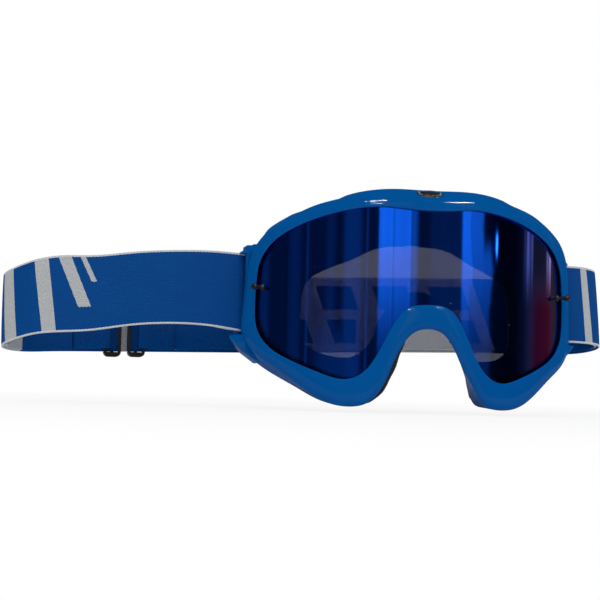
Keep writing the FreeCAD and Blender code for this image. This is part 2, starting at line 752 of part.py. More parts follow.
def build():
    base_back = "Sizes.face_radius + Sizes.fleece_foam"
    nodes = {"frame": make_frame(), "lens": make_lens()}
    nodes["brow_badge"] = badge_axis("brow_badge", size("badge_half_width"),
                                     size("badge_half_height"), size("badge_wall"),
                                     size("badge_sink") - 0.01)
    nodes["face_foam"] = make_foam("face_foam", FLANGE_RADIUS, base_back)
    nodes["face_fleece"] = make_foam("face_fleece", base_back, "Sizes.face_radius")
    for piece in make_vent_foams():
        nodes[piece.Name] = piece
    nodes["strap"] = make_strap()
    for tail in make_tails():
        nodes[tail.Name] = tail
    for side, name in SIDES:
        nodes["tearoff_post_" + name] = make_post(side, name)
        nodes["strap_end_" + name] = make_tail_loop(side, name)
        nodes["strap_adjuster_" + name] = make_adjuster(side, name)
    doc.recompute()
    return nodes


def check(nodes):
    for thing in doc.Objects:
        if "Invalid" in thing.State or "Error" in thing.State:
            raise RuntimeError("%s failed: %s" % (thing.Name, thing.State))
    for name, node in nodes.items():
        if node.Shape.isNull() or not node.Shape.isValid() or not node.Shape.Solids:
            raise RuntimeError("%s has no valid solid" % name)


def export(nodes):
    os.makedirs("parts", exist_ok=True)
    for name, node in nodes.items():
        node.Label = name
        node.Shape.exportStep("parts/%s.step" % name)
        box = node.Shape.BoundBox
        print("%-24s %d solid(s) %9.0f mm3  x %.1f..%.1f y %.1f..%.1f z %.1f..%.1f" % (
            name, len(node.Shape.Solids), node.Shape.Volume, box.XMin, box.XMax, box.YMin,
            box.YMax, box.ZMin, box.ZMax))


nodes = build()
check(nodes)
export(nodes)
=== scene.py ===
import math

import bmesh
import bpy
import numpy as np
from mathutils import Matrix, Vector


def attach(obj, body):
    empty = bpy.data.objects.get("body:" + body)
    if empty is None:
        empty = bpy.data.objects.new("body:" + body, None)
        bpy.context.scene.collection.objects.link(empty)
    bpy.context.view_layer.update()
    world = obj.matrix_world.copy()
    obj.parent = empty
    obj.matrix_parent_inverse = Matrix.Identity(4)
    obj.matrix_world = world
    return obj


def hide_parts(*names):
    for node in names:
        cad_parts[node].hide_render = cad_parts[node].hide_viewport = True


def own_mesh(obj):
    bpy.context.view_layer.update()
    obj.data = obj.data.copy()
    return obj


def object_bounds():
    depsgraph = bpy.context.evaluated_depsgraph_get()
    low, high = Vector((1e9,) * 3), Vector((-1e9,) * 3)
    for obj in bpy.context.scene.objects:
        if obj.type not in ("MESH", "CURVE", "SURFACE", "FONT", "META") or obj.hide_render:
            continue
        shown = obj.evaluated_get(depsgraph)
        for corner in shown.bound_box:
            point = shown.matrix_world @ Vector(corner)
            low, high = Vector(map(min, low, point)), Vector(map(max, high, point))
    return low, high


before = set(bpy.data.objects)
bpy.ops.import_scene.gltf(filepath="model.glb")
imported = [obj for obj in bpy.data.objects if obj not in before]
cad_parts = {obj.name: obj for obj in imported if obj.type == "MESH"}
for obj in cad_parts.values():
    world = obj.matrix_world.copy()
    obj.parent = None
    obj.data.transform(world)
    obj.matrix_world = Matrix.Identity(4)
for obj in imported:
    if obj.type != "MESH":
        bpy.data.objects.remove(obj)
cad_box = [list(corner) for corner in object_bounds()]

# ------------------------------------------------------------ moulded frame
# The frame is one shell of soft blue thermoplastic, injection moulded and glossy from the tool.
# Its rim grips the lens in a groove; a rear flange carries the face foam, and a lug on each side
# carries the upright bar that the strap goes round.  Sizes are in millimetres.

MM = 0.001
LENS_AXIS = 64.5            # depth of the upright axis that the lens and the rim curve about
FACE_AXIS = 105.0           # the same for the flange and the foam
LENS_OUTSIDE = 103.0
LENS_WALL = 1.0
RIM_FACE = 105.0
RIM_BACK = 100.2
GROOVE_PLAY = 0.12
LENS_BITE = 2.6             # how far the lens's edge stands in the groove
SHELL_WALL = 2.4
FLANGE_BACK = 119.0
FLANGE_WALL = 2.2
FLANGE_FRONT = FLANGE_BACK + FLANGE_WALL
STEPS = 6                   # stations between two points of an outline
ROLL_DEPTH = 0.65           # depth of the rolled edge against its width
ROLL_ROUND = 1.45           # how full its section is; 1 would be an ellipse
FACE_CROWN = 0.22           # how much the rim's face stands out between its edges
LENS_LIP = 0.5              # the small step down from the face to the lens
CORNER = 0.4                # rows of points this near to a corner keep it crisp
INNER_ACROSS, FLANGE_ACROSS = 0.96, 0.97    # how far out the inside corners are, against the rim

# Half outlines from the brow to the nose, seen from the front, in step with each other.
LENS_EDGE = [(0, 39.9), (14, 40.6), (28, 41.2), (41, 39.3), (54, 35.6), (65, 30.6), (73, 24.6),
             (78, 16.6), (79.9, 5), (80.4, -8), (79, -20), (73.3, -28.8), (64, -35.0), (54, -39.6),
             (45, -43), (37.6, -43.4), (31, -39.9), (26, -33.2), (21.3, -24.2), (15.8, -13.6),
             (9, -7.6), (0, -6.4)]
EYE_EDGE = [(0, 25.0), (12, 24.3), (22, 22.4), (31.5, 19.4), (41, 16.0), (48.5, 12.4), (53.6, 9.0),
            (56.4, 4.2), (57.6, -2.4), (58, -10), (57.8, -17.5), (56, -23.8), (51.5, -28.2),
            (46, -30.6), (40.5, -31.9), (34.8, -32.3), (29.4, -31), (25, -26.8), (21.2, -20.2),
            (16.2, -10), (9.2, -1.4), (0, 1.8)]
# The rim's outside: across, up, outward drift of the wall per millimetre of depth, and how much of
# the front face the rolled edge takes.
RIM_EDGE = [(0, 49.1, 0.10, 6.3), (18, 49.5, 0.10, 6.2), (34.2, 48.0, 0.08, 5.6),
            (45.4, 45.4, 0.03, 4.4), (56.6, 42.3, -0.03, 3.4), (67.3, 37.0, -0.07, 2.8),
            (76.8, 30.6, -0.08, 2.4), (82.9, 21.6, -0.06, 2.0), (85.4, 6, 0.0, 1.6),
            (86.5, -9, 0.0, 1.6), (86.3, -22.4, 0.02, 1.8), (80.0, -32.4, 0.05, 2.2),
            (70.0, -40.1, 0.06, 2.6), (59.7, -48.8, -0.04, 2.8), (48.9, -55.6, -0.07, 2.8),
            (38, -57.3, -0.06, 2.8), (28.4, -55, -0.10, 3.0), (21.6, -47.6, -0.22, 3.4),
            (16.8, -36.8, -0.27, 3.8), (12, -26.8, -0.26, 3.6), (6.6, -20.4, -0.18, 3.2),
            (0, -18.7, -0.12, 3.0)]
STRIDES = [math.dist(a[:2], b[:2]) for a, b in zip(RIM_EDGE, RIM_EDGE[1:])]


def closed_curve(half):
    """A smooth closed curve through a half outline and its mirror image, station by station."""
    whole = np.array(half + [(-p[0],) + tuple(p[1:]) for p in reversed(half[1:-1])], float)
    gaps = STRIDES + STRIDES[::-1]
    count = len(whole)
    system, pull = np.zeros((count, count)), np.zeros_like(whole)
    for i in range(count):
        after = (i + 1) % count
        system[i, i - 1] += gaps[i - 1]
        system[i, i] += 2 * (gaps[i - 1] + gaps[i])
        system[i, after] += gaps[i]
        pull[i] = 6 * ((whole[after] - whole[i]) / gaps[i] - (whole[i] - whole[i - 1]) / gaps[i - 1])
    bend = np.linalg.solve(system, pull)
    stations = []
    for i in range(count):
        after = (i + 1) % count
        for step in range(STEPS):
            b = step / STEPS
            a = 1 - b
            stations.append(a * whole[i] + b * whole[after]
                            + ((a ** 3 - a) * bend[i] + (b ** 3 - b) * bend[after])
                            * gaps[i] ** 2 / 6)
    return np.array(stations)


def outward(curve):
    """Unit directions out of a closed curve, seen from the front."""
    along = np.roll(curve, -1, 0)[:, :2] - np.roll(curve, 1, 0)[:, :2]
    along /= np.linalg.norm(along, axis=1)[:, None]
    return np.stack([-along[:, 1], along[:, 0]], 1)


def upright(radius, axis, across):
    """Depth of an upright cylinder's near face at places across."""
    return axis - np.sqrt(radius ** 2 - np.clip(across, -0.97 * radius, 0.97 * radius) ** 2)


def ease(value, start, end):
    """Rises smoothly from 0 at start to 1 at end."""
    t = np.clip((value - start) / (end - start), 0, 1)
    return t * t * (3 - 2 * t)


def ring_mesh(name, rows):
    """A closed tube of quads whose sections are the rows' points, station by station."""
    stations = len(rows[0])
    points = np.concatenate(rows) * MM
    faces = []
    for r in range(len(rows)):
        s = (r + 1) % len(rows)
        for i in range(stations):
            j = (i + 1) % stations
            faces.append((r * stations + i, s * stations + i, s * stations + j, r * stations + j))
    return shown(name, points, faces)


def linked(name, data):
    """A new object in the scene, from a mesh, lamp or camera."""
    made = bpy.data.objects.new(name, data)
    bpy.context.scene.collection.objects.link(made)
    return made


def smooth_piece(name, work, mesh=None):
    """A smooth-shaded object from a bmesh that is done with."""
    mesh = mesh or bpy.data.meshes.new(name)
    work.to_mesh(mesh)
    work.free()
    mesh.shade_smooth()
    return linked(name, mesh)


def shown(name, points, faces, layer=None, places=()):
    """A mesh object with its faces turned outwards, and one UV layer if it is given."""
    mesh = bpy.data.meshes.new(name)
    mesh.from_pydata([tuple(p) for p in points], [], faces)
    if layer:
        mesh.uv_layers.new(name=layer).data.foreach_set("uv", np.array(places, np.float32).ravel())
    work = bmesh.new()
    work.from_mesh(mesh)
    bmesh.ops.recalc_face_normals(work, faces=work.faces)
    return smooth_piece(name, work, mesh)


def applied(piece, kind, **settings):
    """Adds a modifier and makes its result the piece's own mesh."""
    modifier = piece.modifiers.new(kind.lower(), kind)
    for key, value in settings.items():
        setattr(modifier, key, value)
    graph = bpy.context.evaluated_depsgraph_get()
    mesh = bpy.data.meshes.new_from_object(piece.evaluated_get(graph))
    piece.modifiers.remove(modifier)
    old = piece.data
    piece.data = mesh
    bpy.data.meshes.remove(old)
    mesh.name = piece.name
    return piece


lens_line, eye_line, rim_line = (closed_curve(half) for half in (LENS_EDGE, EYE_EDGE, RIM_EDGE))
rim_out, lens_out = outward(rim_line), outward(lens_line)
rim_xz, drift, roll = rim_line[:, :2], rim_line[:, 2], rim_line[:, 3]
total = len(rim_line)
# Counts the outlines' points from the middle of the brow, 0, to the middle of the nose, 21.
along_half = np.minimum(np.arange(total), total - np.arange(total)) / STEPS
# The soft rim sits a little to one side of the lens, except at the nose.
RIM_SIT = 1.5
rim_xz[:, 0] += RIM_SIT * (1 - ease(along_half, 14.5, 16.5))
# The lobe on the nose's +X side is pinched a little, which bares more of its wall.
LOBE_PINCH, PINCH_DRIFT = 2.8, 0.07
pinch = (ease(along_half, 15.2, 16.3) * (1 - ease(along_half, 16.9, 18.3))
         * (np.arange(total) < total / 2))
rim_xz[:, 0] += LOBE_PINCH * pinch
drift += PINCH_DRIFT * pinch
# Over the nose the rim swells forward and falls away to the lens.
NOSE_SWELL = 1.3
swell = NOSE_SWELL * ease(along_half, 15.5, 18.0)
rim_front = upright(RIM_FACE, LENS_AXIS, rim_xz[:, 0]) - swell
# A low platform stands along the brow, and a pad on each shoulder, behind the rolled edge.
BROW_LIFT, PAD_LIFT = 0.9, 1.0
LIFT_RISES, LIFT_FALLS = (2.2, 4.0), (19, 21)       # depths behind the rim's front
raised = (BROW_LIFT * (1 - ease(along_half, 2.35, 2.95))
          + PAD_LIFT * ease(along_half, 4.5, 4.8) * (1 - ease(along_half, 5.9, 6.25)))


def at_depth(xz, depth):
    return np.stack([xz[:, 0], depth, xz[:, 1]], 1)


def wall(depth, inset):
    """The shell's outer wall at a depth, moved inwards."""
    behind = depth - rim_front
    lift = raised * ease(behind, *LIFT_RISES) * (1 - ease(behind, *LIFT_FALLS))
    move = drift * behind - inset + (lift if np.max(inset) < SHELL_WALL else 0)
    return at_depth(rim_xz + rim_out * move[:, None], depth)


def laid(xz, radius, axis=LENS_AXIS):
    """An outline laid on an upright cylinder."""
    return at_depth(xz, upright(radius, axis, xz[:, 0]))


def between(one, other, share, radius, axis=LENS_AXIS):
    """Points part of the way from one outline to another, on an upright cylinder."""
    return laid(one * (1 - share) + other * share, radius, axis)


def shell_rows():
    """The shell's section as rows of points: the groove, the inside, the flange, then the outside
    forward to the rolled edge, the rim's face and back to the groove."""
    lens_xz, eye_xz = lens_line[:, :2], eye_line[:, :2]
    floor_xz = lens_xz + lens_out * (LENS_BITE + GROOVE_PLAY)
    groove_back, groove_front = LENS_OUTSIDE - LENS_WALL - GROOVE_PLAY, LENS_OUTSIDE + GROOVE_PLAY
    rows = [laid(floor_xz, groove_back), laid(lens_xz, groove_back), laid(lens_xz, RIM_BACK + CORNER)]

    inner_front = upright(RIM_BACK, LENS_AXIS, rim_xz[:, 0] * INNER_ACROSS)
    flange_near = upright(FLANGE_FRONT, FACE_AXIS, rim_xz[:, 0] * FLANGE_ACROSS)
    inner = wall(inner_front, SHELL_WALL)[:, [0, 2]]
    rows += [between(lens_xz, inner, share, RIM_BACK) for share in (0.08, 0.5, 0.94)]
    rows += [wall(inner_front + (flange_near - inner_front) * share, SHELL_WALL)
             for share in (0.04, 0.35, 0.65, 0.96)]

    inner = wall(flange_near, SHELL_WALL)[:, [0, 2]]
    rows += [between(inner, eye_xz, share, FLANGE_FRONT, FACE_AXIS) for share in (0.05, 0.5, 0.97)]
    rows += [laid(eye_xz, radius, FACE_AXIS)
             for radius in (FLANGE_FRONT - CORNER, FLANGE_BACK + CORNER)]
    flange_far = upright(FLANGE_BACK, FACE_AXIS, rim_xz[:, 0])
    outer = wall(flange_far, 0.6)[:, [0, 2]]
    rows += [between(eye_xz, outer, share, FLANGE_BACK, FACE_AXIS) for share in (0.03, 0.5, 1.0)]

    rolled_back = rim_front + ROLL_DEPTH * roll
    rows += [wall(flange_far + (rolled_back - flange_far) * share, 0.0)
             for share in (0.04, 0.14, 0.26, 0.4, 0.55, 0.7, 0.82, 0.92)]
    for turn in np.radians((0, 9, 20, 32, 45, 58, 70, 81, 90)):
        inset = roll * (1 - math.cos(turn) ** ROLL_ROUND)
        edge = wall(rim_front + ROLL_DEPTH * roll * (1 - math.sin(turn) ** ROLL_ROUND), inset)
        drop = upright(RIM_FACE, LENS_AXIS, edge[:, 0]) - swell - rim_front
        edge[:, 1] += drop * math.sin(turn)
        rows.append(edge)

    face_xz = rows[-1][:, [0, 2]]
    for share in (0.12, 0.35, 0.6, 0.85):
        row = between(face_xz, lens_xz + lens_out * LENS_LIP, share, RIM_FACE)
        row[:, 1] -= FACE_CROWN * math.sin(math.pi * share) + swell * (1 - share ** 2)
        rows.append(row)
    rows += [laid(lens_xz + lens_out * (LENS_LIP - 0.05), RIM_FACE),
             laid(lens_xz, RIM_FACE - LENS_LIP), laid(lens_xz, groove_front),
             laid(floor_xz, groove_front)]
    return rows


BAR_DEPTH, BAR_WALL, BAR_FROM, BAR_TO = 15.3, 4.2, 84.4, 89.2
SLOT_WALL, SLOT_FOOT, SLOT_FRONT, LUG_TIP = 82.2, -21.5, 11.2, 92.0
SLOT_TOP = {-1: 19.8, 1: 20.9}
SIDE_WALL, SIDE_DEPTHS, SIDE_HEIGHTS = (79.9, 84), (6, 19.5), (-24, 24)
PAST_SIDE, PAST_BACK = 120, 60                      # well outside the shell
LUG_ROUND, SLOT_ROUND, BAR_ROUND, VENT_ROUND = 0.5, 0.3, 1.9, 1.6


def hull(name, points, bevel):
    """A rounded solid stretched over a few corner points."""
    work = bmesh.new()
    for point in points:
        work.verts.new(Vector(point) * MM)
    bmesh.ops.convex_hull(work, input=list(work.verts))
    bmesh.ops.dissolve_limit(work, angle_limit=0.02, verts=list(work.verts), edges=list(work.edges))
    bmesh.ops.bevel(work, geom=list(work.edges), offset=bevel * MM, segments=3, profile=0.5,
                    affect="EDGES", clamp_overlap=True)
    return smooth_piece(name, work)


def lug(side, top):
    """The ear above or below the strap, drawn out to a point and swept into the rim.
    Each level is a height and how far out the ear's plan may reach there."""
    if top:
        tip, back = BAR_TO - 1.5 + side, 11.0
        levels = [(SLOT_TOP[side], 99), (SLOT_TOP[side] + 0.7, 87.6), (24.6, 80.6)]
    else:
        tip, back = LUG_TIP + side, 18.6
        levels = [(SLOT_FOOT, 99), (-23.4, 90.2), (-30.0, 84.8), (-35.6, 77)]
    plan = [(76, 4.5), (84, 6), (87.0, 9.6), (tip, 13.4), (tip, 17.2), (86, back + 2), (76, back)]
    points = [(side * min(x, limit), y, z) for z, limit in levels for x, y in plan]
    return hull("lug", points, LUG_ROUND)


def rounded_block(name, across, depths, heights, bevel):
    """A rounded block between two places across, in depth and in height."""
    corners = [(x, y, z) for x in sorted(across) for y in depths for z in heights]
    return hull(name, corners, bevel)


def combined(piece, operation, tools):
    """Adds or cuts solids, then removes them."""
    for tool in tools:
        applied(piece, "BOOLEAN", object=tool, operation=operation, solver="MANIFOLD")
        bpy.data.objects.remove(tool)
    return piece


shell = ring_mesh("moulded_frame", shell_rows())
applied(shell, "SUBSURF", levels=1, render_levels=1)
combined(shell, "UNION", [lug(side, top) for side in (-1, 1) for top in (True, False)])
# A flat wall inside each side, between the strap's slot and the lens chamber.
combined(shell, "UNION", [
    rounded_block("slot_wall", [side * x for x in SIDE_WALL], SIDE_DEPTHS, SIDE_HEIGHTS, SLOT_ROUND)
    for side in (-1, 1)])
combined(shell, "DIFFERENCE", [
    rounded_block("slot", (side * SLOT_WALL, side * PAST_SIDE), (SLOT_FRONT, PAST_BACK),
                  (SLOT_FOOT, SLOT_TOP[side]), SLOT_ROUND)
    for side in (-1, 1)])
combined(shell, "UNION", [
    rounded_block("bar", (side * BAR_FROM, side * BAR_TO),
                  (BAR_DEPTH - BAR_WALL / 2, BAR_DEPTH + BAR_WALL / 2),
                  (SLOT_FOOT - 1, SLOT_TOP[side] + 0.4), BAR_ROUND)
    for side in (-1, 1)])
# Vents: distance from the middle, the heights that the cut runs between, length along the wall.
VENTS = [(12, 30, 64, 15), (33.5, 28, 62, 15), (50.5, 22, 56, 10), (38, -72, -38, 12),
         (53, -68, -38, 8)]
VENT_HALF = 3.5
for across, low, high, length in VENTS:
    middle = float(upright(RIM_BACK, LENS_AXIS, across) + upright(FLANGE_FRONT, FACE_AXIS, across)) / 2
    combined(shell, "DIFFERENCE", [
        rounded_block("vent", (side * across - length / 2, side * across + length / 2),
                      (middle - VENT_HALF, middle + VENT_HALF), (low, high), VENT_ROUND)
        for side in (-1, 1)])
shell.data.shade_smooth()
shell.data.set_sharp_from_angle(angle=math.radians(38))


class Wire:
    """A value that runs between shader nodes; Python's own signs add Math nodes to it."""

    def __init__(self, nodes, socket):
        self.nodes, self.socket = nodes, socket

    def through(self, operation, *others):
        return self.nodes.node("Math", {"operation": operation}, dict(enumerate((self,) + others)))

    def __add__(self, other):
        return self.through("ADD", other)

    def __mul__(self, other):
        return self.through("MULTIPLY", other)

    def __sub__(self, other):
        return self.through("SUBTRACT", other)

    def __truediv__(self, other):
        return self.through("DIVIDE", other)

    def __lt__(self, other):
        return self.through("LESS_THAN", other)

    def __gt__(self, other):
        return self.through("GREATER_THAN", other)

    def __abs__(self):
        return self.through("ABSOLUTE")

    def __rsub__(self, other):
        return self.nodes.node("Math", {"operation": "SUBTRACT"}, {0: other, 1: self})

    __radd__, __rmul__ = __add__, __mul__


class Nodes:
    """The nodes of a material or of the world."""

    def __init__(self, owner):
        owner.use_nodes = True
        self.owner, self.tree = owner, owner.node_tree
        self.surface = self.tree.nodes.get("Principled BSDF")

    def feed(self, made, sockets):
        for key, value in sockets.items():
            socket = made.inputs[key]
            if isinstance(value, Wire):
                self.tree.links.new(value.socket, socket)
            elif isinstance(value, (tuple, list)) and len(value) == 3 and socket.type == "RGBA":
                socket.default_value = (*value, 1)
            else:
                socket.default_value = value

    def node(self, kind, settings, sockets, out=0):
        made = self.tree.nodes.new("ShaderNode" + kind)
        for key, value in settings.items():
            setattr(made, key, value)
        self.feed(made, sockets)
        return Wire(self, made.outputs[out])

    def mixed(self, share, low, high):
        return self.node("Mix", {"data_type": "RGBA"}, {0: share, 6: low, 7: high}, out=2)

    def rise(self, value, start, end, low=0.0, high=1.0, kind="LINEAR"):
        """Goes from low to high while the value goes from start to end."""
        return self.node("MapRange", {"interpolation_type": kind},
                         {"Value": value, "From Min": start, "From Max": end, "To Min": low,
                          "To Max": high})

    def part(self, vector, axis):
        return self.node("SeparateXYZ", {}, {"Vector": vector}, out=axis)

    def place(self):
        return self.node("TexCoord", {}, {}, out="Object")

    def noise(self, scale, detail=2.0, vector=None):
        return self.node("TexNoise", {}, {"Vector": vector or self.place(), "Scale": scale,
                                          "Detail": detail})

    def bump(self, height, distance):
        normal = self.node("Bump", {}, {"Height": height, "Distance": distance * MM})
        self.feed(self.surface, {"Normal": normal})


def finish(name, sockets):
    """A new material whose Principled surface has these plain values."""
    nodes = Nodes(bpy.data.materials.new(name))
    nodes.feed(nodes.surface, sockets)
    return nodes


def finished(piece, nodes):
    piece.data.materials.clear()
    piece.data.materials.append(nodes.owner)
    return piece


def gloss_blue():
    """Blue gloss: faint flow marks in the colour, fine handling marks in the gloss."""
    skin = finish("gloss_blue_plastic", {"IOR": 1.48, "Specular IOR Level": 0.0,
                                         "Coat Weight": 0.14, "Coat Roughness": 0.02})
    cloud = skin.noise(26.0, 3.0)
    wear = skin.noise(900.0, 4.0)
    colour = skin.mixed(cloud, (0.0006, 0.082, 0.310), (0.0010, 0.108, 0.380))
    skin.feed(skin.surface, {"Base Color": colour, "Roughness": 0.15 + wear * 0.14})
    skin.bump(skin.noise(60.0, 1.0) + wear * 0.12, 0.05)
    return skin


finished(shell, gloss_blue())
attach(shell, "goggles")
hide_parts("frame")

# ------------------------------------------------------------ lens
# One cylindrical sheet of smoke polycarbonate, a millimetre thick, with a blue mirror coating.
# It is die-cut, then sprung into the rim's groove all round.

LENS_HEART = (0, 15)        # where the rings of the mesh start
LENS_RINGS = 26
MIRROR_COVER = 0.765        # share of the light that the coating stops


def lens_sheet():
    """Rings that grow from the middle of the lens to its cut edge, on both faces."""
    edge = lens_line[:, :2] + lens_out * LENS_BITE
    heart = np.array(LENS_HEART, float)
    radii = (LENS_OUTSIDE, LENS_OUTSIDE - LENS_WALL)
    points = [laid(heart + (edge - heart) * ring / LENS_RINGS, radius)
              for radius in radii for ring in range(1, LENS_RINGS + 1)]
    hubs = [laid(heart[None], radius) for radius in radii]
    faces = []
    for face in (0, 1):
        first, hub = face * LENS_RINGS * total, 2 * LENS_RINGS * total + face
        for i in range(total):
            j = (i + 1) % total
            faces.append((hub, first + i, first + j))
            for ring in range(LENS_RINGS - 1):
                a, b = first + ring * total, first + (ring + 1) * total
                faces.append((a + i, b + i, b + j, a + j))
    outer, inner = (LENS_RINGS - 1) * total, (2 * LENS_RINGS - 1) * total
    faces += [(outer + i, inner + i, inner + (i + 1) % total, outer + (i + 1) % total)
              for i in range(total)]
    return np.concatenate(points + hubs) * MM, faces


def mirror_blue():
    """Blue mirror over smoke that turns lilac at a slant, with painted shade where it runs into the
    groove, and specks of dust here and there."""
    mirror = finish("blue_mirror_lens", {"IOR": 1.58})
    cells = {"Vector": mirror.place(), "Scale": 150.0}
    spread = mirror.node("TexVoronoi", {}, cells, out="Distance")
    chance = mirror.node("SeparateColor", {},
                         {"Color": Wire(mirror, spread.socket.node.outputs["Color"])})
    specks = (spread < 0.014 + chance * 0.022) * (chance > 0.55)
    slant = mirror.node("LayerWeight", {}, {"Blend": 0.5}, out="Facing")
    ring = mirror.part(mirror.node("UVMap", {"uv_map": "rings"}, {}), "X")
    tint = mirror.mixed(mirror.noise(14.0, 2.0), (0.004, 0.110, 0.86), (0.010, 0.150, 0.98))
    tint = mirror.mixed(mirror.rise(slant, 0.24, 0.58), tint, (0.34, 0.26, 0.62))
    # Painted shade: next to the cut edge, where the rim's groove shades the lens, the tint is painted
    # near black.
    tint = mirror.mixed(mirror.rise(ring, 0.93, 0.955), tint, (0.003, 0.010, 0.050))
    mirror.feed(mirror.surface, {
        "Base Color": mirror.mixed(specks, tint, (0.50, 0.52, 0.58)),
        "Metallic": 1 - specks, "Alpha": MIRROR_COVER + specks * (1 - MIRROR_COVER),
        "Roughness": 0.03 + specks * 0.5 + mirror.noise(300.0, 3.0) * 0.015})
    return mirror


lens = finished(shown("mirror_lens", *lens_sheet()), mirror_blue())
# The layer "rings" says how far each corner is from the middle, where the cut edge is 1.
rings = lens.data.uv_layers.new(name="rings")
for loop in lens.data.loops:
    number = loop.vertex_index
    hub = number >= 2 * LENS_RINGS * total
    ring = number % (LENS_RINGS * total) // total + 1
    rings.data[loop.index].uv = (0 if hub else ring / LENS_RINGS, 0.5)
lens.data.set_sharp_from_angle(angle=math.radians(40))
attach(lens, "goggles")
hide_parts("lens")

# ------------------------------------------------------------ brow insert and tear-off posts
# A small oval cap of black nylon snaps into the middle of the brow.  Two turned posts of the same
# nylon are riveted through the lens, one at each end, to carry tear-off films.

BADGE_PLACE, BADGE_TILT = Vector((0, -37.5, 48.9)), math.radians(42)
BADGE_HALF = (6.7, 2.4)
POST_PLACE, POST_LIFT = 77.5, 2.0


def satin_black():
    nylon = finish("satin_black_nylon", {"IOR": 1.5, "Specular IOR Level": 0.18})
    cloud = nylon.noise(90.0, 2.0)
    wear = nylon.noise(1400.0, 3.0)
    nylon.feed(nylon.surface, {
        "Base Color": nylon.mixed(cloud, (0.007, 0.007, 0.009), (0.020, 0.020, 0.024)),
        "Roughness": 0.30 + wear * 0.18})
    nylon.bump(wear, 0.03)
    return nylon


nylon = satin_black()


def circle(radius, height, count):
    """Points round a level circle."""
    turns = [2 * math.pi * i / count for i in range(count)]
    return [Vector((radius * math.cos(turn), radius * math.sin(turn), height)) for turn in turns]


def turned(name, profile, place, axis, around=28):
    """A piece turned on a lathe: radius and height, bottom to top, stood along an axis."""
    points = [Vector((0, 0, profile[0][1]))]
    for radius, height in profile:
        points += circle(radius, height, around)
    points.append(Vector((0, 0, profile[-1][1])))
    faces = []
    for i in range(around):
        j = (i + 1) % around
        faces.append((0, 1 + j, 1 + i))
        for ring in range(len(profile) - 1):
            a, b = 1 + ring * around, 1 + (ring + 1) * around
            faces.append((a + i, a + j, b + j, b + i))
        last = 1 + (len(profile) - 1) * around
        faces.append((last + i, last + j, len(points) - 1))
    stand = axis.to_track_quat("Z", "Y").to_matrix()
    return shown(name, [(stand @ point + place) * MM for point in points], faces)


# Radius and height: the rivet head behind the lens, the collar before it, the neck and the knob.
POST_PROFILE = [(2.0, -1.85), (2.35, -1.7), (2.35, -1.15), (2.2, -1.05),
                (1.15, -1.04), (1.15, 0.02), (1.75, 0.03), (1.8, 0.15), (1.5, 0.45), (1.1, 0.7),
                (0.95, 1.1), (0.95, 3.9),
                (1.2, 4.4), (1.55, 4.75), (1.65, 5.2), (1.6, 6.1), (1.35, 6.7), (0.8, 7.0)]

for side, label in ((-1, "right"), (1, "left")):
    lean = Vector((side * POST_PLACE / LENS_OUTSIDE,
                   -math.sqrt(1 - (POST_PLACE / LENS_OUTSIDE) ** 2), 0))
    post = turned("post_" + label, POST_PROFILE,
                  Vector((0, LENS_AXIS, POST_LIFT)) + lean * LENS_OUTSIDE, lean)
    post.data.set_sharp_from_angle(angle=math.radians(55))
    finished(post, nylon)
    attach(post, "goggles")
    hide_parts("tearoff_post_" + label)


def tube_faces(rings, count, first=0):
    """Quads from ring to ring of points, and a flat face at each end."""
    starts = [first + ring * count for ring in range(rings)]
    faces = [(a + i, a + (i + 1) % count, b + (i + 1) % count, b + i)
             for a, b in zip(starts, starts[1:]) for i in range(count)]
    return faces + [tuple(range(end, end + count)) for end in (starts[0], starts[-1])]


def brow_cap():
    """A shallow oval dome with a raised bead round its edge."""
    profile = [(1.0, -1.1), (1.0, 0.12), (0.975, 0.26), (0.93, 0.33), (0.885, 0.28), (0.85, 0.14),
               (0.8, 0.12), (0.6, 0.28), (0.35, 0.38), (0.12, 0.42)]
    around = 64
    tilt = Matrix.Rotation(BADGE_TILT, 3, "X")
    oval = Matrix.Diagonal((*BADGE_HALF, 1))
    points = [(tilt @ (oval @ point) + BADGE_PLACE) * MM
              for share, height in profile for point in circle(share, height, around)]
    return shown("brow_cap", points, tube_faces(len(profile), around))


def cap_finish():
    """Black enamel with a worn pale ring on the bead."""
    enamel = finish("cap_enamel", {"Coat Weight": 0.5, "Coat Roughness": 0.08})
    across = enamel.part(enamel.place(), "X") / (BADGE_HALF[0] * MM)
    along = ((enamel.part(enamel.place(), "Y") - BADGE_PLACE.y * MM)
             / (BADGE_HALF[1] * MM * math.cos(BADGE_TILT)))
    ring = abs((across * across + along * along) - 0.72) < 0.085
    worn = enamel.noise(700.0, 2.0) > 0.42
    enamel.feed(enamel.surface, {
        "Base Color": enamel.mixed(ring * worn, (0.008, 0.008, 0.010), (0.42, 0.38, 0.22)),
        "Roughness": 0.22 + enamel.noise(500.0, 2.0) * 0.15})
    return enamel


cap = finished(brow_cap(), cap_finish())
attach(cap, "goggles")
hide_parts("brow_badge")

# ------------------------------------------------------------ face foam and vent foam
# Two layers of foam are glued behind the flange: a firm open-cell base and a softer layer with a
# fleece face.  Thin filter foam lines the vents inside.  All of it is cut flat and bends to fit.

FOAM_INSET, FOAM_SIDE, BASE_BACK, FLEECE_BACK = 2.4, 79.0, 110.0, 105.0
FOAM_VOXEL = 1.5
PRESSURE, SETTLE_FRAMES = 4, 20
eye_out = outward(eye_line)


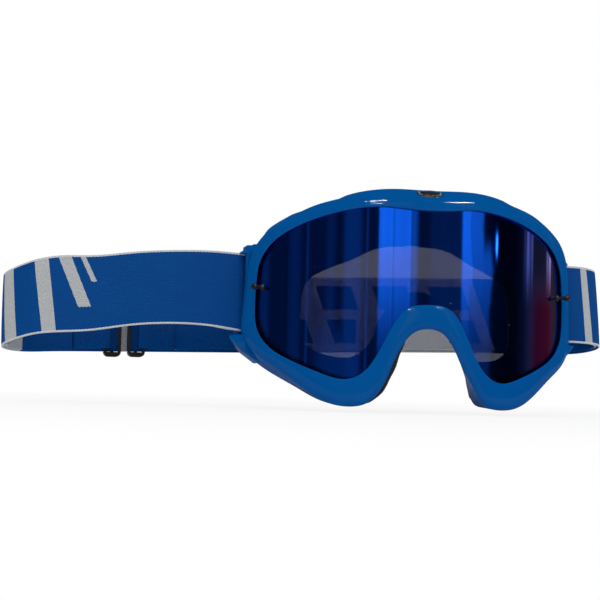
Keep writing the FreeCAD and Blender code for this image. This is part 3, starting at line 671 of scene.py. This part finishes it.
def foam_rows(front, back, crown):
    """Rounded section of one layer, between two upright cylinders.  Its inner edge reaches into
    the eye opening at the sides, and its outer edge is cut to a slope beside the nose."""
    flange = upright(FLANGE_BACK, FACE_AXIS, rim_xz[:, 0])
    outer = wall(flange, FOAM_INSET)[:, [0, 2]]
    sides = ease(along_half, 1.5, 3.5) * (1 - ease(along_half, 9, 12))
    inner = eye_line[:, :2] + eye_out * (1.0 - 2.5 * sides)[:, None]
    slope = 0.16 * ease(along_half, 15.0, 17.0)

    def side_at(share, bulge):
        """Outer edge part of the way back."""
        depth = (FLANGE_BACK - front) + (front - back) * share
        spread = outer + rim_out * (bulge - slope * depth)[:, None]
        spread[:, 0] = np.clip(spread[:, 0], -FOAM_SIDE, FOAM_SIDE)
        return spread

    rows = []
    for share in (0.08, 0.3, 0.5, 0.7, 0.92):
        rows.append(between(inner, side_at(0, 0), share, front, FACE_AXIS))
    for share in (0.1, 0.35, 0.65, 0.9):
        spread = side_at(share, 0.5 * math.sin(math.pi * share))
        rows.append(laid(spread, front + (back - front) * share, FACE_AXIS))
    for share in (0.92, 0.7, 0.5, 0.3, 0.08):
        row = between(inner, side_at(1, 0), share, back, FACE_AXIS)
        row[:, 1] += crown * (math.sin(math.pi * share) - 0.6)
        rows.append(row)
    for share in (0.9, 0.65, 0.35, 0.1):
        spread = inner - eye_out * 0.5 * math.sin(math.pi * share)
        rows.append(laid(spread, front + (back - front) * share, FACE_AXIS))
    return rows


def corners_of(piece):
    return np.array([corner.co for corner in piece.data.vertices])


def puffed(piece, cap):
    """Swells a soft piece as cloth under pressure, no point further than the cap."""
    applied(piece, "REMESH", mode="VOXEL", voxel_size=FOAM_VOXEL * MM)
    applied(piece, "SMOOTH", factor=0.6, iterations=8)
    rest = corners_of(piece)
    cloth = piece.modifiers.new("cloth", "CLOTH")
    cloth.settings.use_pressure = True
    cloth.settings.uniform_pressure_force = PRESSURE
    cloth.settings.effector_weights.gravity = 0
    cloth.settings.quality = 5
    cloth.point_cache.frame_end = SETTLE_FRAMES
    for step in range(1, SETTLE_FRAMES + 1):
        bpy.context.scene.frame_set(step)
    graph = bpy.context.evaluated_depsgraph_get()
    moved = corners_of(piece.evaluated_get(graph)) - rest
    piece.modifiers.remove(cloth)
    bpy.context.scene.frame_set(1)
    length = np.maximum(np.linalg.norm(moved, axis=1), 1e-9)
    moved *= (np.minimum(length, cap * MM) / length)[:, None]
    piece.data.vertices.foreach_set("co", (rest + moved).astype(np.float32).ravel())
    applied(piece, "SUBSURF", levels=1, render_levels=1)
    piece.data.shade_smooth()
    return piece


def open_cell():
    """Black reticulated foam: round pores with soft struts between them; the pores are painted
    darker, as shade in their hollows.
    """
    foam = finish("open_cell_foam", {"Specular IOR Level": 0.25, "Sheen Weight": 0.15})
    pores = foam.node("TexVoronoi", {}, {"Vector": foam.place(), "Scale": 1150.0}, out="Distance")
    cloud = foam.noise(60.0, 3.0)
    # Painted shade: the pores are painted darker than the struts round them.
    foam.feed(foam.surface, {
        "Base Color": foam.mixed(pores, (0.004, 0.004, 0.005), (0.030, 0.030, 0.033)),
        "Roughness": 0.85 + cloud * 0.12})
    foam.bump(pores + cloud * 0.3, 0.35)
    return foam


def fleece():
    """Brushed dark fleece with short tangled pile."""
    pile = finish("brushed_fleece", {"Specular IOR Level": 0.1, "Sheen Weight": 0.6,
                                     "Sheen Roughness": 0.5})
    fuzz = pile.noise(2600.0, 4.0)
    lie = pile.noise(120.0, 3.0)
    pile.feed(pile.surface, {
        "Base Color": pile.mixed(fuzz * 0.7 + lie * 0.3, (0.010, 0.010, 0.012), (0.060, 0.060, 0.066)),
        "Roughness": 0.9 + lie * 0.08})
    pile.bump(fuzz + lie * 0.8, 0.25)
    return pile


pores, pile = open_cell(), fleece()
base = ring_mesh("foam_base", foam_rows(FLANGE_BACK - 0.1, BASE_BACK + 0.1, 0.0))
finished(puffed(base, 0.35), pores)
facing = ring_mesh("foam_facing", foam_rows(BASE_BACK - 0.1, FLEECE_BACK + 0.4, 1.2))
finished(puffed(facing, 0.6), pile)
for piece, node, slot, fill in ((base, "face_foam", "foam", 0.9),
                                (facing, "face_fleece", "fleece", 0.75)):
    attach(piece, "goggles")
    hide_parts(node)


def shade_foam_lip():
    """A strip of black foam stands out round the wall beside the nose, on the -X side: a dark piece
    put in as painted shade for the shade on the rim's rolled edge there.  The section's points are
    a distance out of the wall and a depth behind the rim's front."""
    stations = range(total - int(19.6 * STEPS), total - int(15.8 * STEPS))
    section = [(-3.2, 8.6), (-0.5, 9.2), (1.0, 8.8), (1.9, 7.8), (2.1, 6.6), (1.7, 5.6), (0.8, 5.1),
               (-0.8, 5.2), (-3.2, 5.8)]
    points = []
    for number, k in enumerate(stations):
        share = number / (len(stations) - 1)
        full = math.sin(math.pi * share) ** 0.45
        wave = 0.25 * math.sin(number * 0.9)
        for out, depth in section:
            reach = (out + wave) * full if out > 0 else out
            reach += drift[k] * depth * (1 - full)
            x, z = rim_xz[k] + rim_out[k] * reach
            points.append((x * MM, (rim_front[k] + depth) * MM, z * MM))
    lip = shown("shade_foam_lip", points, tube_faces(len(stations), len(section)))
    applied(lip, "SUBSURF", levels=2, render_levels=2)
    return lip


# The black foam strip beside the nose is a dark piece that stands in for shade on the rolled edge.
lip = finished(shade_foam_lip(), pores)
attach(lip, "goggles")


def vent_lining(name, stations):
    """A strip of filter foam inside the wall, over some of the stations.  The section's points
    are an inset from the outer wall and a share of the way back."""
    near = upright(RIM_BACK, LENS_AXIS, rim_xz[:, 0]) + 1.2
    far = upright(FLANGE_FRONT, FACE_AXIS, rim_xz[:, 0]) - 0.8
    section = [(3.3, 0.0), (3.3, 0.5), (3.3, 1.0), (4.6, 1.0), (5.9, 1.0), (5.9, 0.5), (5.9, 0.0),
               (4.6, 0.0)]
    rows = [wall(near + (far - near) * share, inset)[stations] for inset, share in section]
    points = np.stack(rows, 1).reshape(-1, 3) * MM
    strip = shown(name, points, tube_faces(len(stations), len(section)))
    applied(strip, "SUBSURF", levels=1, render_levels=1)
    return strip


BROW_REACH = 26             # stations that the brow's strip covers on each side of the middle
for label, stations in (("brow", list(range(-BROW_REACH, BROW_REACH + 1))),
                        ("cheek_left", list(range(13 * STEPS, 16 * STEPS + 1))),
                        ("cheek_right", list(range(total - 16 * STEPS, total - 13 * STEPS + 1)))):
    strip = finished(vent_lining("vent_lining_" + label, stations), pores)
    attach(strip, "goggles")
    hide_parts("vent_foam_" + label)

# ------------------------------------------------------------ strap
# Forty millimetre elastic jacquard webbing: blue satin ground, white selvedges and a woven pattern
# of plain slanted bars.  The outer run goes round both bars; each end doubles back inside it.

STRAP_WALL = 1.4
STRAP_FRONT, STRAP_BEHIND, STRAP_BACK = 12.2, 18.4, 54.0    # depths of the runs
STRAP_LIFT, DROOP_ALONG, DROOP_BACK = 0.1, 0.019, 0.165
ADJUSTER_PLACE = -140.8
FAR_FOLD, NEAR_FOLD, BAR_INNER, STRAP_END = -205.9, 108.4, 83.42, 87.1
PLY_STEP, LEAST_RUN = 1.7, 0.02
FAR_OUT, NEAR_OUT, NEAR_LEAN = 1.4, 2.0, 1.6                # how the slack folds stand out and lean
PATH_STEP = 1.9


def turned_path(corners, radii):
    """Straight runs joined by arcs, as points about two millimetres apart."""
    path = [np.array(corners[0], float)]
    for before, here, after, radius in zip(corners, corners[1:], corners[2:], radii[1:]):
        before, here, after = (np.array(p, float) for p in (before, here, after))
        come = (here - before) / np.linalg.norm(here - before)
        leave = (after - here) / np.linalg.norm(after - here)
        turn = math.atan2(come[0] * leave[1] - come[1] * leave[0], float(come @ leave))
        side = np.array([-come[1], come[0]]) * (1 if turn > 0 else -1)
        centre = here - come * radius * math.tan(abs(turn) / 2) + side * radius
        spoke = -side * radius
        for step in np.linspace(0, turn, max(6, int(abs(turn) * radius / 0.8))):
            c, s = math.cos(step), math.sin(step)
            path.append(centre + (spoke[0] * c - spoke[1] * s, spoke[0] * s + spoke[1] * c))
    path.append(np.array(corners[-1], float))
    path = np.array(path)
    places = np.concatenate([[0], np.cumsum(np.linalg.norm(np.diff(path, axis=0), axis=1))])
    even = np.linspace(0, places[-1], int(places[-1] / PATH_STEP) + 2)
    return np.stack([np.interp(even, places, path[:, i]) for i in (0, 1)], 1), even


fold = (STRAP_BACK - STRAP_FRONT) / 2 - LEAST_RUN
small = (STRAP_BEHIND - STRAP_FRONT) / 2 - LEAST_RUN
strap_plan, strap_run = turned_path(
    [(-STRAP_END, STRAP_BEHIND), (-BAR_INNER, STRAP_BEHIND), (-BAR_INNER, STRAP_FRONT),
     (FAR_FOLD, STRAP_FRONT), (FAR_FOLD, STRAP_BACK), (NEAR_FOLD, STRAP_BACK),
     (NEAR_FOLD, STRAP_FRONT), (BAR_INNER, STRAP_FRONT), (BAR_INNER, STRAP_BEHIND),
     (STRAP_END, STRAP_BEHIND)],
    [0, small, small, fold, fold, fold, fold, small, small, 0])


def run_at(points):
    """How far along the strap the nearest places are."""
    gaps = np.linalg.norm(np.asarray(points, float)[:, None] - strap_plan[None], axis=2)
    return strap_run[np.argmin(gaps, axis=1)]


# How the slack strap lies: a place in plan, its height over the straight line, half its width.
LIE = [(-82, 12.2, 0.9, 20.0), (-94, 12.2, 3.3, 19.4), (-107, 12.2, 4.1, 18.8),
       (-121, 12.2, 4.1, 18.5), (-133, 12.2, 3.6, 18.4), (-144, 12.2, 2.6, 18.5),
       (-157, 12.2, 0.1, 18.6), (-168, 12.2, -0.6, 19.1), (-178, 12.2, 0.3, 19.5),
       (-187, 12.2, -1.2, 18.6), (-198, 17.0, -4.4, 18.3), (-205.9, 33, -5.2, 18.0),
       (-198, 49, -2.8, 18.8), (-180, 54, -1.0, 19.6), (-150, 54, -0.5, 20.0), (-60, 54, -0.2, 20.0),
       (0, 54, 0.8, 20.0), (60, 54, 1.1, 20.0), (95, 53, 0.4, 20.0), (108.4, 33, -0.6, 20.0),
       (95, 13.5, -1.6, 20.0), (84, 12.2, -1.5, 20.0)]
REACH = 12                  # places on each side that the lie is smoothed over
lie_run = run_at([row[:2] for row in LIE])
weights = np.exp(-0.5 * (np.arange(-REACH, REACH + 1) / 4.5) ** 2)
lie = []
for column in (2, 3):
    rough = np.interp(strap_run, lie_run, [row[column] for row in LIE])
    lie.append(np.convolve(np.pad(rough, REACH, mode="edge"), weights / weights.sum(), mode="valid"))

# The selvedge's bead: its start, middle and half length as shares of the half width, and its
# half thickness.
BEAD, BEAD_MIDDLE, BEAD_REACH, BEAD_HALF = 0.955, 0.978, 0.0222, 0.80
ACROSS = [0.0, 0.18, 0.36, 0.54, 0.72, 0.86, 0.93, BEAD, 0.968, 0.982, 0.993, 1.0]
EDGE_OVER = 1.013           # the beads widen the webbing by this factor
CUP = 0.25                  # the edges curl inwards by this much
INSIDE = 2.0                # added to the weave layer's second value on the inner face


def webbing(name, plan, run, outer=1, tuck=0.0, selvedge=1.0):
    """A woven strip on edge along a plan path; outer says which hand its outer face is on, tuck
    how much narrower it lies, and selvedge how much of the white edge shows.  Its layer "weave"
    holds how far along and across the webbing each corner is."""
    plan = plan.copy()
    plan[:, 0] += FAR_OUT * ease(-plan[:, 0], 187, 204) + NEAR_OUT * ease(plan[:, 0], 92, 106)
    along = np.gradient(plan, axis=0)
    along /= np.linalg.norm(along, axis=1)[:, None]
    side = np.stack([-along[:, 1], along[:, 0]], 1) * outer
    rise, half = (np.interp(run, strap_run, column) for column in lie)
    # A doubled end lies narrower, most of all near the goggles.
    half = half - tuck * (1 + 1.4 * ease(-np.abs(plan[:, 0] + 2), -116, -98))
    middle = (STRAP_LIFT + DROOP_ALONG * plan[:, 0] - DROOP_BACK * (plan[:, 1] - STRAP_FRONT)
              + rise)
    lean = NEAR_LEAN * ease(plan[:, 0], 88, 107)
    over = [-w for w in reversed(ACROSS[1:])] + ACROSS
    section = [(w, 1) for w in over] + [(w, -1) for w in reversed(over[1:-1])]
    rows = []
    for w, face in section:
        share = abs(w)
        thick = STRAP_WALL / 2
        if share > BEAD:
            thick = BEAD_HALF * math.sqrt(max(0.0, 1 - ((share - BEAD_MIDDLE) / BEAD_REACH) ** 2))
        place = plan + side * (face * thick - CUP * share ** 3)
        place[:, 0] -= lean * w
        rows.append(np.column_stack([place, middle + w * half * EDGE_OVER]))
    faces = tube_faces(len(plan), len(section))
    places = []
    for face in faces:
        outside = len(face) > 4 or all(number % len(section) < len(over) for number in face)
        for number in face:
            i, a = divmod(number, len(section))
            places.append((run[i] * MM, section[a][0] * selvedge / 2 + (0 if outside else INSIDE)))
    points = np.stack(rows, 1).reshape(-1, 3) * MM
    piece = shown(name, points, faces, "weave", places)
    piece.data.set_sharp_from_angle(angle=math.radians(50))
    return piece


def slanted(run, across, middle, width, slant, low=-1):
    """1 on a woven bar that crosses the strap at a slant, down to a lowest height."""
    bar = abs(run - (middle * MM) - across * (slant * MM)) < width * MM / 2
    return bar * (across > low) if low > -1 else bar


def either(*masks):
    """The greatest of several masks."""
    most = masks[0]
    for mask in masks[1:]:
        most = most.through("MAXIMUM", mask)
    return most


# Woven bars round the far fold: place along the strap from the turn, width, slant, lowest height.
BARS = [(-61, 2.6, 9, 0.30), (-51, 6.4, 8, -0.35), (-34, 7.0, 2.5, -1), (-12, 9.5, 2.0, -1),
        (4, 8.0, 2.0, -1)]
# Single woven bars: width and slant.
NEAR_STRIPE, FAR_CURL, MEETING_BAND = (4.2, 1.2), (26, 1.5), (3.6, 0)
CURL_FROM_TURN = 9
# Places round the strap that the pattern is set out from, as a side and a depth.
FAR_TURN, NEAR_SIDE, NOSE_FIELD, NOSE_CLEAR = (FAR_FOLD, 33), (98.6, 15.0), 8, 26
BLOCK_FIELD, BLOCK_PITCH, BLOCK_SLANT = -66, 31, 7
RIB, WEFT, TOOTH = 1.15 / 20, 0.9, 0.85     # a rib, as a share of the half width; steps along


def jacquard():
    """Blue and white jacquard: satin ribs along the strap, weft steps across, white selvedges."""
    weave = finish("jacquard_webbing", {"Specular IOR Level": 0.04})
    where = weave.node("UVMap", {"uv_map": "weave"}, {})
    run = weave.part(where, "X")
    sheet = weave.part(where, "Y")
    inside = sheet > 1.0
    across = (sheet - inside * INSIDE) * 2.0
    steps = weave.node("Math", {"operation": "PINGPONG"}, {0: run, 1: TOOTH * MM}) / (TOOTH * MM)
    # The pattern's steps follow the weft, so slanted edges are finely toothed.
    toothed = across + steps * 0.02
    turn, near, start, nose, meeting = (float(place) for place in run_at([
        FAR_TURN, NEAR_SIDE, (BLOCK_FIELD, STRAP_BACK), (NOSE_FIELD, STRAP_BACK),
        (ADJUSTER_PLACE, STRAP_BACK)]))
    bars = either(*(slanted(run, toothed, turn + place, width, slant, low)
                    for place, width, slant, low in BARS))
    near_stripe = slanted(run, toothed, near, *NEAR_STRIPE)
    # Behind the lens the ground is white, with stacked blue blocks.
    place = (run - start * MM + toothed * (BLOCK_SLANT * MM)) / (BLOCK_PITCH * MM)
    ground = (place > -0.22) * (place < 3.84)
    block = weave.node("Math", {"operation": "FRACT"}, {0: place + 2.0}) < 0.62
    rows = abs(abs(toothed) - 0.47) < 0.33
    # The lower blocks stop short of the nose.
    rows = rows * either(toothed > 0, abs(run - nose * MM) > NOSE_CLEAR * MM)
    # The weave is two-sided, so the outer face has the same blocks in the other colour.
    blocks = ground * (inside * (1 - block * rows) + (1 - inside) * block * rows)
    # Inside, the far turn is pale, and so is a band where the adjusters meet.
    curl = slanted(run, toothed, turn + CURL_FROM_TURN, *FAR_CURL)
    band = slanted(run, toothed, meeting, *MEETING_BAND)
    edge = (abs(across) + steps * 0.012 > BEAD) * (1 - inside)
    white = either(bars * (1 - inside), near_stripe * (1 - inside), blocks, curl * inside,
                   band * inside, edge)
    ribs = weave.node("Math", {"operation": "SINE"}, {0: across * (2 * math.pi / RIB)})
    weft = weave.node("Math", {"operation": "SINE"}, {0: run * (2 * math.pi / (WEFT * MM))})
    heather = weave.noise(1500.0, 3.0)
    cloud = weave.noise(30.0, 2.0)
    blue = weave.mixed(heather * 0.6 + cloud * 0.4, (0.0004, 0.050, 0.215), (0.0008, 0.082, 0.335))
    pale = weave.mixed(heather, (0.42, 0.44, 0.45), (0.58, 0.60, 0.61))
    # Painted light: the white ground on the inner face is a brighter copy of the white thread, to make
    # up for the shade that it lies in behind the goggles.
    pale = weave.mixed(blocks * inside, pale, (0.86, 0.87, 0.88))
    pale = weave.mixed(edge, pale, (0.66, 0.68, 0.69))
    weave.feed(weave.surface, {"Base Color": weave.mixed(white, blue, pale),
                               "Roughness": 0.62 + heather * 0.2})
    weave.bump(ribs * 0.35 + weft * ribs * 0.35 + heather * 0.5, 0.10)
    return weave


jacquard_webbing = jacquard()


def fitted(piece, body, *nodes):
    finished(piece, jacquard_webbing)
    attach(piece, body)
    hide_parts(*nodes)
    return piece


fitted(webbing("strap_webbing", strap_plan, strap_run), "goggles", "strap")

# Each doubled end is one ply inside the outer run.  Its straight part is a piece of its own.
TAIL_END, TAIL_BEND, TAIL_TUCK = 87.4, 24, 0.5
RIGHT_STOP, LEFT_STOP = -168.0, -113.98
inner_back, inner_fold = STRAP_BACK - PLY_STEP, FAR_FOLD + PLY_STEP
inner_front, inner_near = STRAP_FRONT + PLY_STEP, NEAR_FOLD - PLY_STEP
tail_fold = (inner_back - inner_front) / 2 - LEAST_RUN
near_turn = fold - PLY_STEP
wide_turn = inner_back - STRAP_BEHIND - near_turn - LEAST_RUN

# Corners and bends of its path, where the straight part starts, the hand of its outer face, and
# the joint's travel with the room kept at its end.
TAILS = {
    "right": ([(-TAIL_END, STRAP_BEHIND), (-95.4, STRAP_BEHIND), (-111.4, inner_front),
               (inner_fold, inner_front), (inner_fold, inner_back), (RIGHT_STOP, inner_back)],
              [0, TAIL_BEND, TAIL_BEND, tail_fold, tail_fold, 0],
              inner_fold + tail_fold, 1, 15, 0.25),
    "left": ([(TAIL_END, STRAP_BEHIND), (inner_near, STRAP_BEHIND), (inner_near, inner_back),
              (LEFT_STOP, inner_back)],
             [0, wide_turn, near_turn, 0],
             inner_near - near_turn, -1, 80, 0.45)}

for label, (corners, radii, split, outer, travel, clear) in TAILS.items():
    plan, _ = turned_path(corners, radii)
    past = plan[:, 0] * outer > split * outer
    first = int(np.argmax((np.abs(plan[:, 1] - inner_back) < 0.01) & past))
    plan[first] = (split, inner_back)
    for part, stretch in (("turn", plan[:first + 1]), ("run", plan[first:])):
        beside = stretch.copy()
        beside[beside[:, 1] < 20, 1] = STRAP_FRONT
        piece = webbing("strap_tail_%s_%s" % (label, part), stretch, run_at(beside), outer,
                        TAIL_TUCK)
        fitted(piece, "goggles", "strap_tail_" + label)
    length = abs(corners[-1][0] - split)
    "adjuster_%s_slide" % label
    1 - (travel + clear) / length
    split * MM
    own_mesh(piece)

# ------------------------------------------------------------ strap adjusters and sewn ends
# Two moulded ladder sliders lie side by side on the back run.  Each strap end turns round its
# slider's far bar and is sewn back on itself with two rows of lockstitch.

HALF_GAP, ADJUSTER_LENGTH, ADJUSTER_BAR = 1.8, 9.0, 1.6
LOOP_LENGTH, LOOP_PLAY, LEAF = 16.0, 0.15, 1.3
END_TUCK, END_SELVEDGE = 0.9, 0.93
leg = inner_back - STRAP_WALL - 2 * LOOP_PLAY - LEAF
sewn = inner_back - STRAP_WALL - LOOP_PLAY
loop_bend = (inner_back - leg) / 2 - LEAST_RUN


def thread():
    cotton = finish("stitch_thread", {"Specular IOR Level": 0.3})
    twist = cotton.node("TexWave", {"wave_type": "BANDS"},
                        {"Vector": cotton.place(), "Scale": 900.0, "Distortion": 2.0})
    cotton.feed(cotton.surface, {
        "Base Color": cotton.mixed(twist, (0.0008, 0.035, 0.15), (0.002, 0.075, 0.28)),
        "Roughness": 0.55 + twist * 0.2})
    cotton.bump(twist, 0.05)
    return cotton


STITCH_PITCH, STITCH_RADIUS, ROW_HALF = 2.6, 0.27, 17.5
STITCH_ENDS = ((-1, 0.35), (-0.75, 0.85), (0, 1.0), (0.75, 0.85), (1, 0.35))


def lockstitch(name, rows):
    """Upright rows of short rounded stitches, each given by its middle, joined as one piece."""
    points, faces = [], []
    count = int(2 * ROW_HALF / STITCH_PITCH)
    for row in rows:
        for number in range(count):
            middle = row + Vector((0, 0, ROW_HALF * ((2 * number + 1) / count - 1)))
            faces += tube_faces(len(STITCH_ENDS), 8, len(points))
            points += [(middle + point) * MM for height, radius in STITCH_ENDS
                       for point in circle(radius * STITCH_RADIUS, height * STITCH_PITCH * 0.4, 8)]
    return shown(name, points, faces)


stitch_thread = thread()
for side, label in ((-1, "right"), (1, "left")):
    def from_gap(offset):
        return ADJUSTER_PLACE + side * (HALF_GAP + offset)

    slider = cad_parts["strap_adjuster_" + label]
    edge = slider.modifiers.new("moulded_edges", "BEVEL")
    edge.width, edge.segments, edge.limit_method = 0.38 * MM, 3, "ANGLE"
    edge.angle_limit = math.radians(50)
    finished(slider, nylon)

    turn = from_gap(ADJUSTER_LENGTH - ADJUSTER_BAR) - side * (loop_bend - 0.2)
    start, bar_outer = from_gap(ADJUSTER_LENGTH + LOOP_LENGTH), from_gap(ADJUSTER_LENGTH)
    corners = [(start, inner_back), (turn, inner_back), (turn, leg), (bar_outer + side * 1.6, leg),
               (bar_outer + side * 5.4, sewn), (start - side, sewn)]
    plan, _ = turned_path(corners, [0, loop_bend, loop_bend, 3, 3, 0])
    piece = webbing("strap_end_webbing_" + label, plan, run_at(plan), -side, END_TUCK, END_SELVEDGE)
    fitted(piece, "adjuster_" + label, "strap_end_" + label)
    rows = []
    for place in (bar_outer + side * 8.4, bar_outer + side * 12.6):
        rise = float(np.interp(run_at([(place, STRAP_BACK)])[0], strap_run, lie[0]))
        middle = STRAP_LIFT + DROOP_ALONG * place - DROOP_BACK * (sewn - STRAP_FRONT) + rise
        rows.append(Vector((place, sewn - STRAP_WALL / 2 - 0.05, middle)))
    stitches = finished(lockstitch("stitches_" + label, rows), stitch_thread)
    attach(stitches, "adjuster_" + label)

# ------------------------------------------------------------ camera, floor and light
# The goggles stand a little leaned back on a flat pale card.  A tent of soft white light surrounds
# them, and a dark room with lit upright panels in front gives the lens something to mirror.

scene = bpy.context.scene
scene.view_settings.view_transform = "Standard"

CAMERA_PLACE, CAMERA_WAY = (-0.2275, -0.9283, -0.0697), (0.180, 0.981, 0.070)
CAMERA_ROLL, CAMERA_LENS = 1.34, 112.14
camera = linked("camera", bpy.data.cameras.new("camera"))
scene.camera = camera
camera.data.sensor_width, camera.data.lens = 36.0, CAMERA_LENS
camera.location = CAMERA_PLACE
camera.rotation_mode = "QUATERNION"
camera.rotation_quaternion = (Vector(CAMERA_WAY).to_track_quat("-Z", "Y")
                              @ Matrix.Rotation(math.radians(CAMERA_ROLL), 3, "Z").to_quaternion())

FLOOR_LEAN = 1.7            # degrees that the floor falls towards the camera
FLOOR_HALF, FLOOR_BACK, FLOOR_GAP = 1.1, 0.02, 0.0012
floor_mesh = bpy.data.meshes.new("floor")
work = bmesh.new()
bmesh.ops.create_grid(work, x_segments=2, y_segments=2, size=FLOOR_HALF)
work.to_mesh(floor_mesh)
work.free()
floor = linked("floor", floor_mesh)
floor.rotation_euler = (math.radians(FLOOR_LEAN), 0, 0)
floor.location = (0, FLOOR_BACK, cad_box[0][2] - FLOOR_GAP)


def ray(nodes, kind):
    """1 where the surface is met by this kind of ray."""
    return nodes.node("LightPath", {}, {}, out="Is %s Ray" % kind)


def pale_floor():
    """Matt white card that the camera sees almost white, with the goggles' shadow on it."""
    card = finish("pale_card", {"Base Color": (0.86, 0.86, 0.87), "Roughness": 0.9,
                                "Specular IOR Level": 0.1})
    apart = card.node("VectorMath", {"operation": "LENGTH"}, {0: card.place()}, out="Value")
    far = card.rise(apart, 0.12, 0.60, 0.86, 1.0, kind="SMOOTHSTEP")
    share = either(ray(card, "Camera") * far, ray(card, "Glossy") * 0.15,
                   ray(card, "Transmission") * far)
    white = card.node("Emission", {}, {"Color": (1, 1, 1), "Strength": 1.0})
    mixed = card.node("MixShader", {}, {0: share, 1: Wire(card, card.surface.outputs[0]), 2: white})
    card.feed(card.tree.nodes["Material Output"], {"Surface": mixed})
    return card


finished(floor, pale_floor())


def tent():
    """White to the camera and behind the goggles, dim in front of them for mirrored rays."""
    world = Nodes(bpy.data.worlds.new("tent"))
    scene.world = world.owner
    way = world.node("TexCoord", {}, {}, out="Generated")
    behind = world.rise(world.part(way, "Y"), 0.1, 0.95, 0.01, 0.20)
    plain = either(ray(world, "Camera"), ray(world, "Transmission"))
    glossy = ray(world, "Glossy")
    level = plain + (1 - plain) * (glossy * behind + (1 - glossy) * 0.60)
    world.feed(world.tree.nodes["Background"], {"Color": (1, 1, 1), "Strength": level})


tent()


def lamp(name, place, size, power, tall=None):
    """An area lamp that looks at the goggles; the camera never sees it."""
    light = bpy.data.lights.new(name, "AREA")
    light.energy, light.size = power, size
    if tall:
        light.shape, light.size_y = "RECTANGLE", tall
    made = linked(name, light)
    made.location = place
    made.rotation_euler = (-Vector(place)).to_track_quat("-Z", "Y").to_euler()
    made.visible_camera = False
    return made


# The two softboxes give the colours, and the two tubes only the highlights on the gloss.
for name, place, size, power in (("softbox_high", (-0.5, -0.9, 1.3), 1.2, 6.6),
                                 ("softbox_side", (1.3, -0.7, 0.5), 1.0, 2.6)):
    lamp(name, place, size, power).visible_glossy = False
for name, place, size, power in (("ceiling_tube_left", (-0.35, -0.90, 1.02), 0.36, 19.0),
                                 ("ceiling_tube_right", (0.64, -0.72, 1.00), 0.42, 16.0)):
    lamp(name, place, size, power, tall=0.06).visible_diffuse = False

ROOM_RADIUS, ROOM_LOW, ROOM_HIGH = 1.5, -0.45, 1.1
ROOM_TURN, ROOM_SIDES = 150, 128        # degrees to each side of the front, and flat sides
# Faint reflections: direction in degrees, width, softness and level.
FAINT = [(-31, 10, 2.0, 0.11), (-22.5, 1.2, 0.5, 0.12), (-44, 5, 1.5, 0.05), (-58, 1.4, 0.5, 0.10),
         (-66, 7, 2.0, 0.05), (-88, 9, 2.0, 0.06), (25, 20, 3.0, 0.04)]


def room_glow():
    """What the room shows by direction and height: windows, folds of film, a curtain, an ember."""
    glow = finish("room_glow", {})
    x, y, z = (glow.part(glow.place(), axis) for axis in "XYZ")
    folds = glow.noise(1.0, 3.0, vector=glow.node("CombineXYZ", {}, {"X": z * 18, "Y": 3.0}))
    angle = glow.node("Math", {"operation": "ARCTAN2"}, {0: x, 1: 0 - y}) * (180 / math.pi)
    wavy = angle + (folds - 0.5) * 9 * (angle > 38)
    streaks = glow.noise(1.0, 6.0, vector=glow.node("CombineXYZ", {}, {"X": angle * 0.55,
                                                                       "Z": z * 1.2}))

    def smooth(value, start, end, low=0.0, high=1.0):
        return glow.rise(value, start, end, low, high, kind="SMOOTHSTEP")

    def panel(middle, width, soft=0.8, lie=angle):
        return smooth(abs(lie - middle), width / 2 + soft, width / 2 - soft)

    lower = smooth(z, 0.01, 0.20, 0.12, 1.0)
    windows = either(panel(-11.4, 8.6), panel(-2.0, 10.2) * 0.92, panel(4.6, 4.0, 2.0) * 0.4)
    right = either(panel(37.4, 6.2, 1.0, wavy), panel(44.2, 8.6, 1.4, wavy) * 0.62,
                   panel(50.5, 6.5, 1.5, wavy) * smooth(z, 0.185, 0.15) * 0.55)
    bright = (windows + right) * lower * (0.75 + streaks * 0.5)
    faint = either(*(panel(middle, width, soft) * level for middle, width, soft, level in FAINT),
                   panel(-40, 22, 6.0) * smooth(z, 0.08, 0.03) * 0.08)
    sparkle = panel(57.5, 1.1, 0.5) * smooth(abs(z - 0.172), 0.018, 0.007) * 6.0
    curtain = either(panel(83, 6, 2.0) * 0.7, panel(104, 5, 2.0)) * smooth(z, 0.09, 0.17)
    curtain = curtain * smooth(streaks, 0.36, 0.58)
    ember = panel(97, 24, 7.0) * smooth(z, 0.15, 0.09)
    haze = (0.012 + streaks * 0.05) * smooth(abs(angle - 65), 4, 22, 0.1)
    colour = glow.mixed(curtain * 1.4, (0.86, 1.0, 1.0), (1.0, 0.86, 0.95))
    colour = glow.mixed(ember, colour, (1.0, 0.08, 0.16))
    level = bright + faint + sparkle + haze + curtain + ember * 0.11
    emission = glow.node("Emission", {}, {"Color": colour, "Strength": level})
    glow.feed(glow.tree.nodes["Material Output"], {"Surface": emission})
    return glow


def mirrored_room():
    """A curved card that only mirrored rays meet: a dim room with bright upright panels."""
    points = []
    for i in range(ROOM_SIDES + 1):
        a = math.radians(ROOM_TURN * (2 * i / ROOM_SIDES - 1))
        points += [(ROOM_RADIUS * math.sin(a), -ROOM_RADIUS * math.cos(a), z)
                   for z in (ROOM_LOW, ROOM_HIGH)]
    mesh = bpy.data.meshes.new("mirrored_room")
    mesh.from_pydata(points, [], [(2 * i, 2 * i + 1, 2 * i + 3, 2 * i + 2) for i in range(ROOM_SIDES)])
    card = linked("mirrored_room", mesh)
    card.visible_camera = card.visible_diffuse = card.visible_shadow = False
    card.visible_transmission = card.visible_volume_scatter = False
    finished(card, room_glow())


mirrored_room()
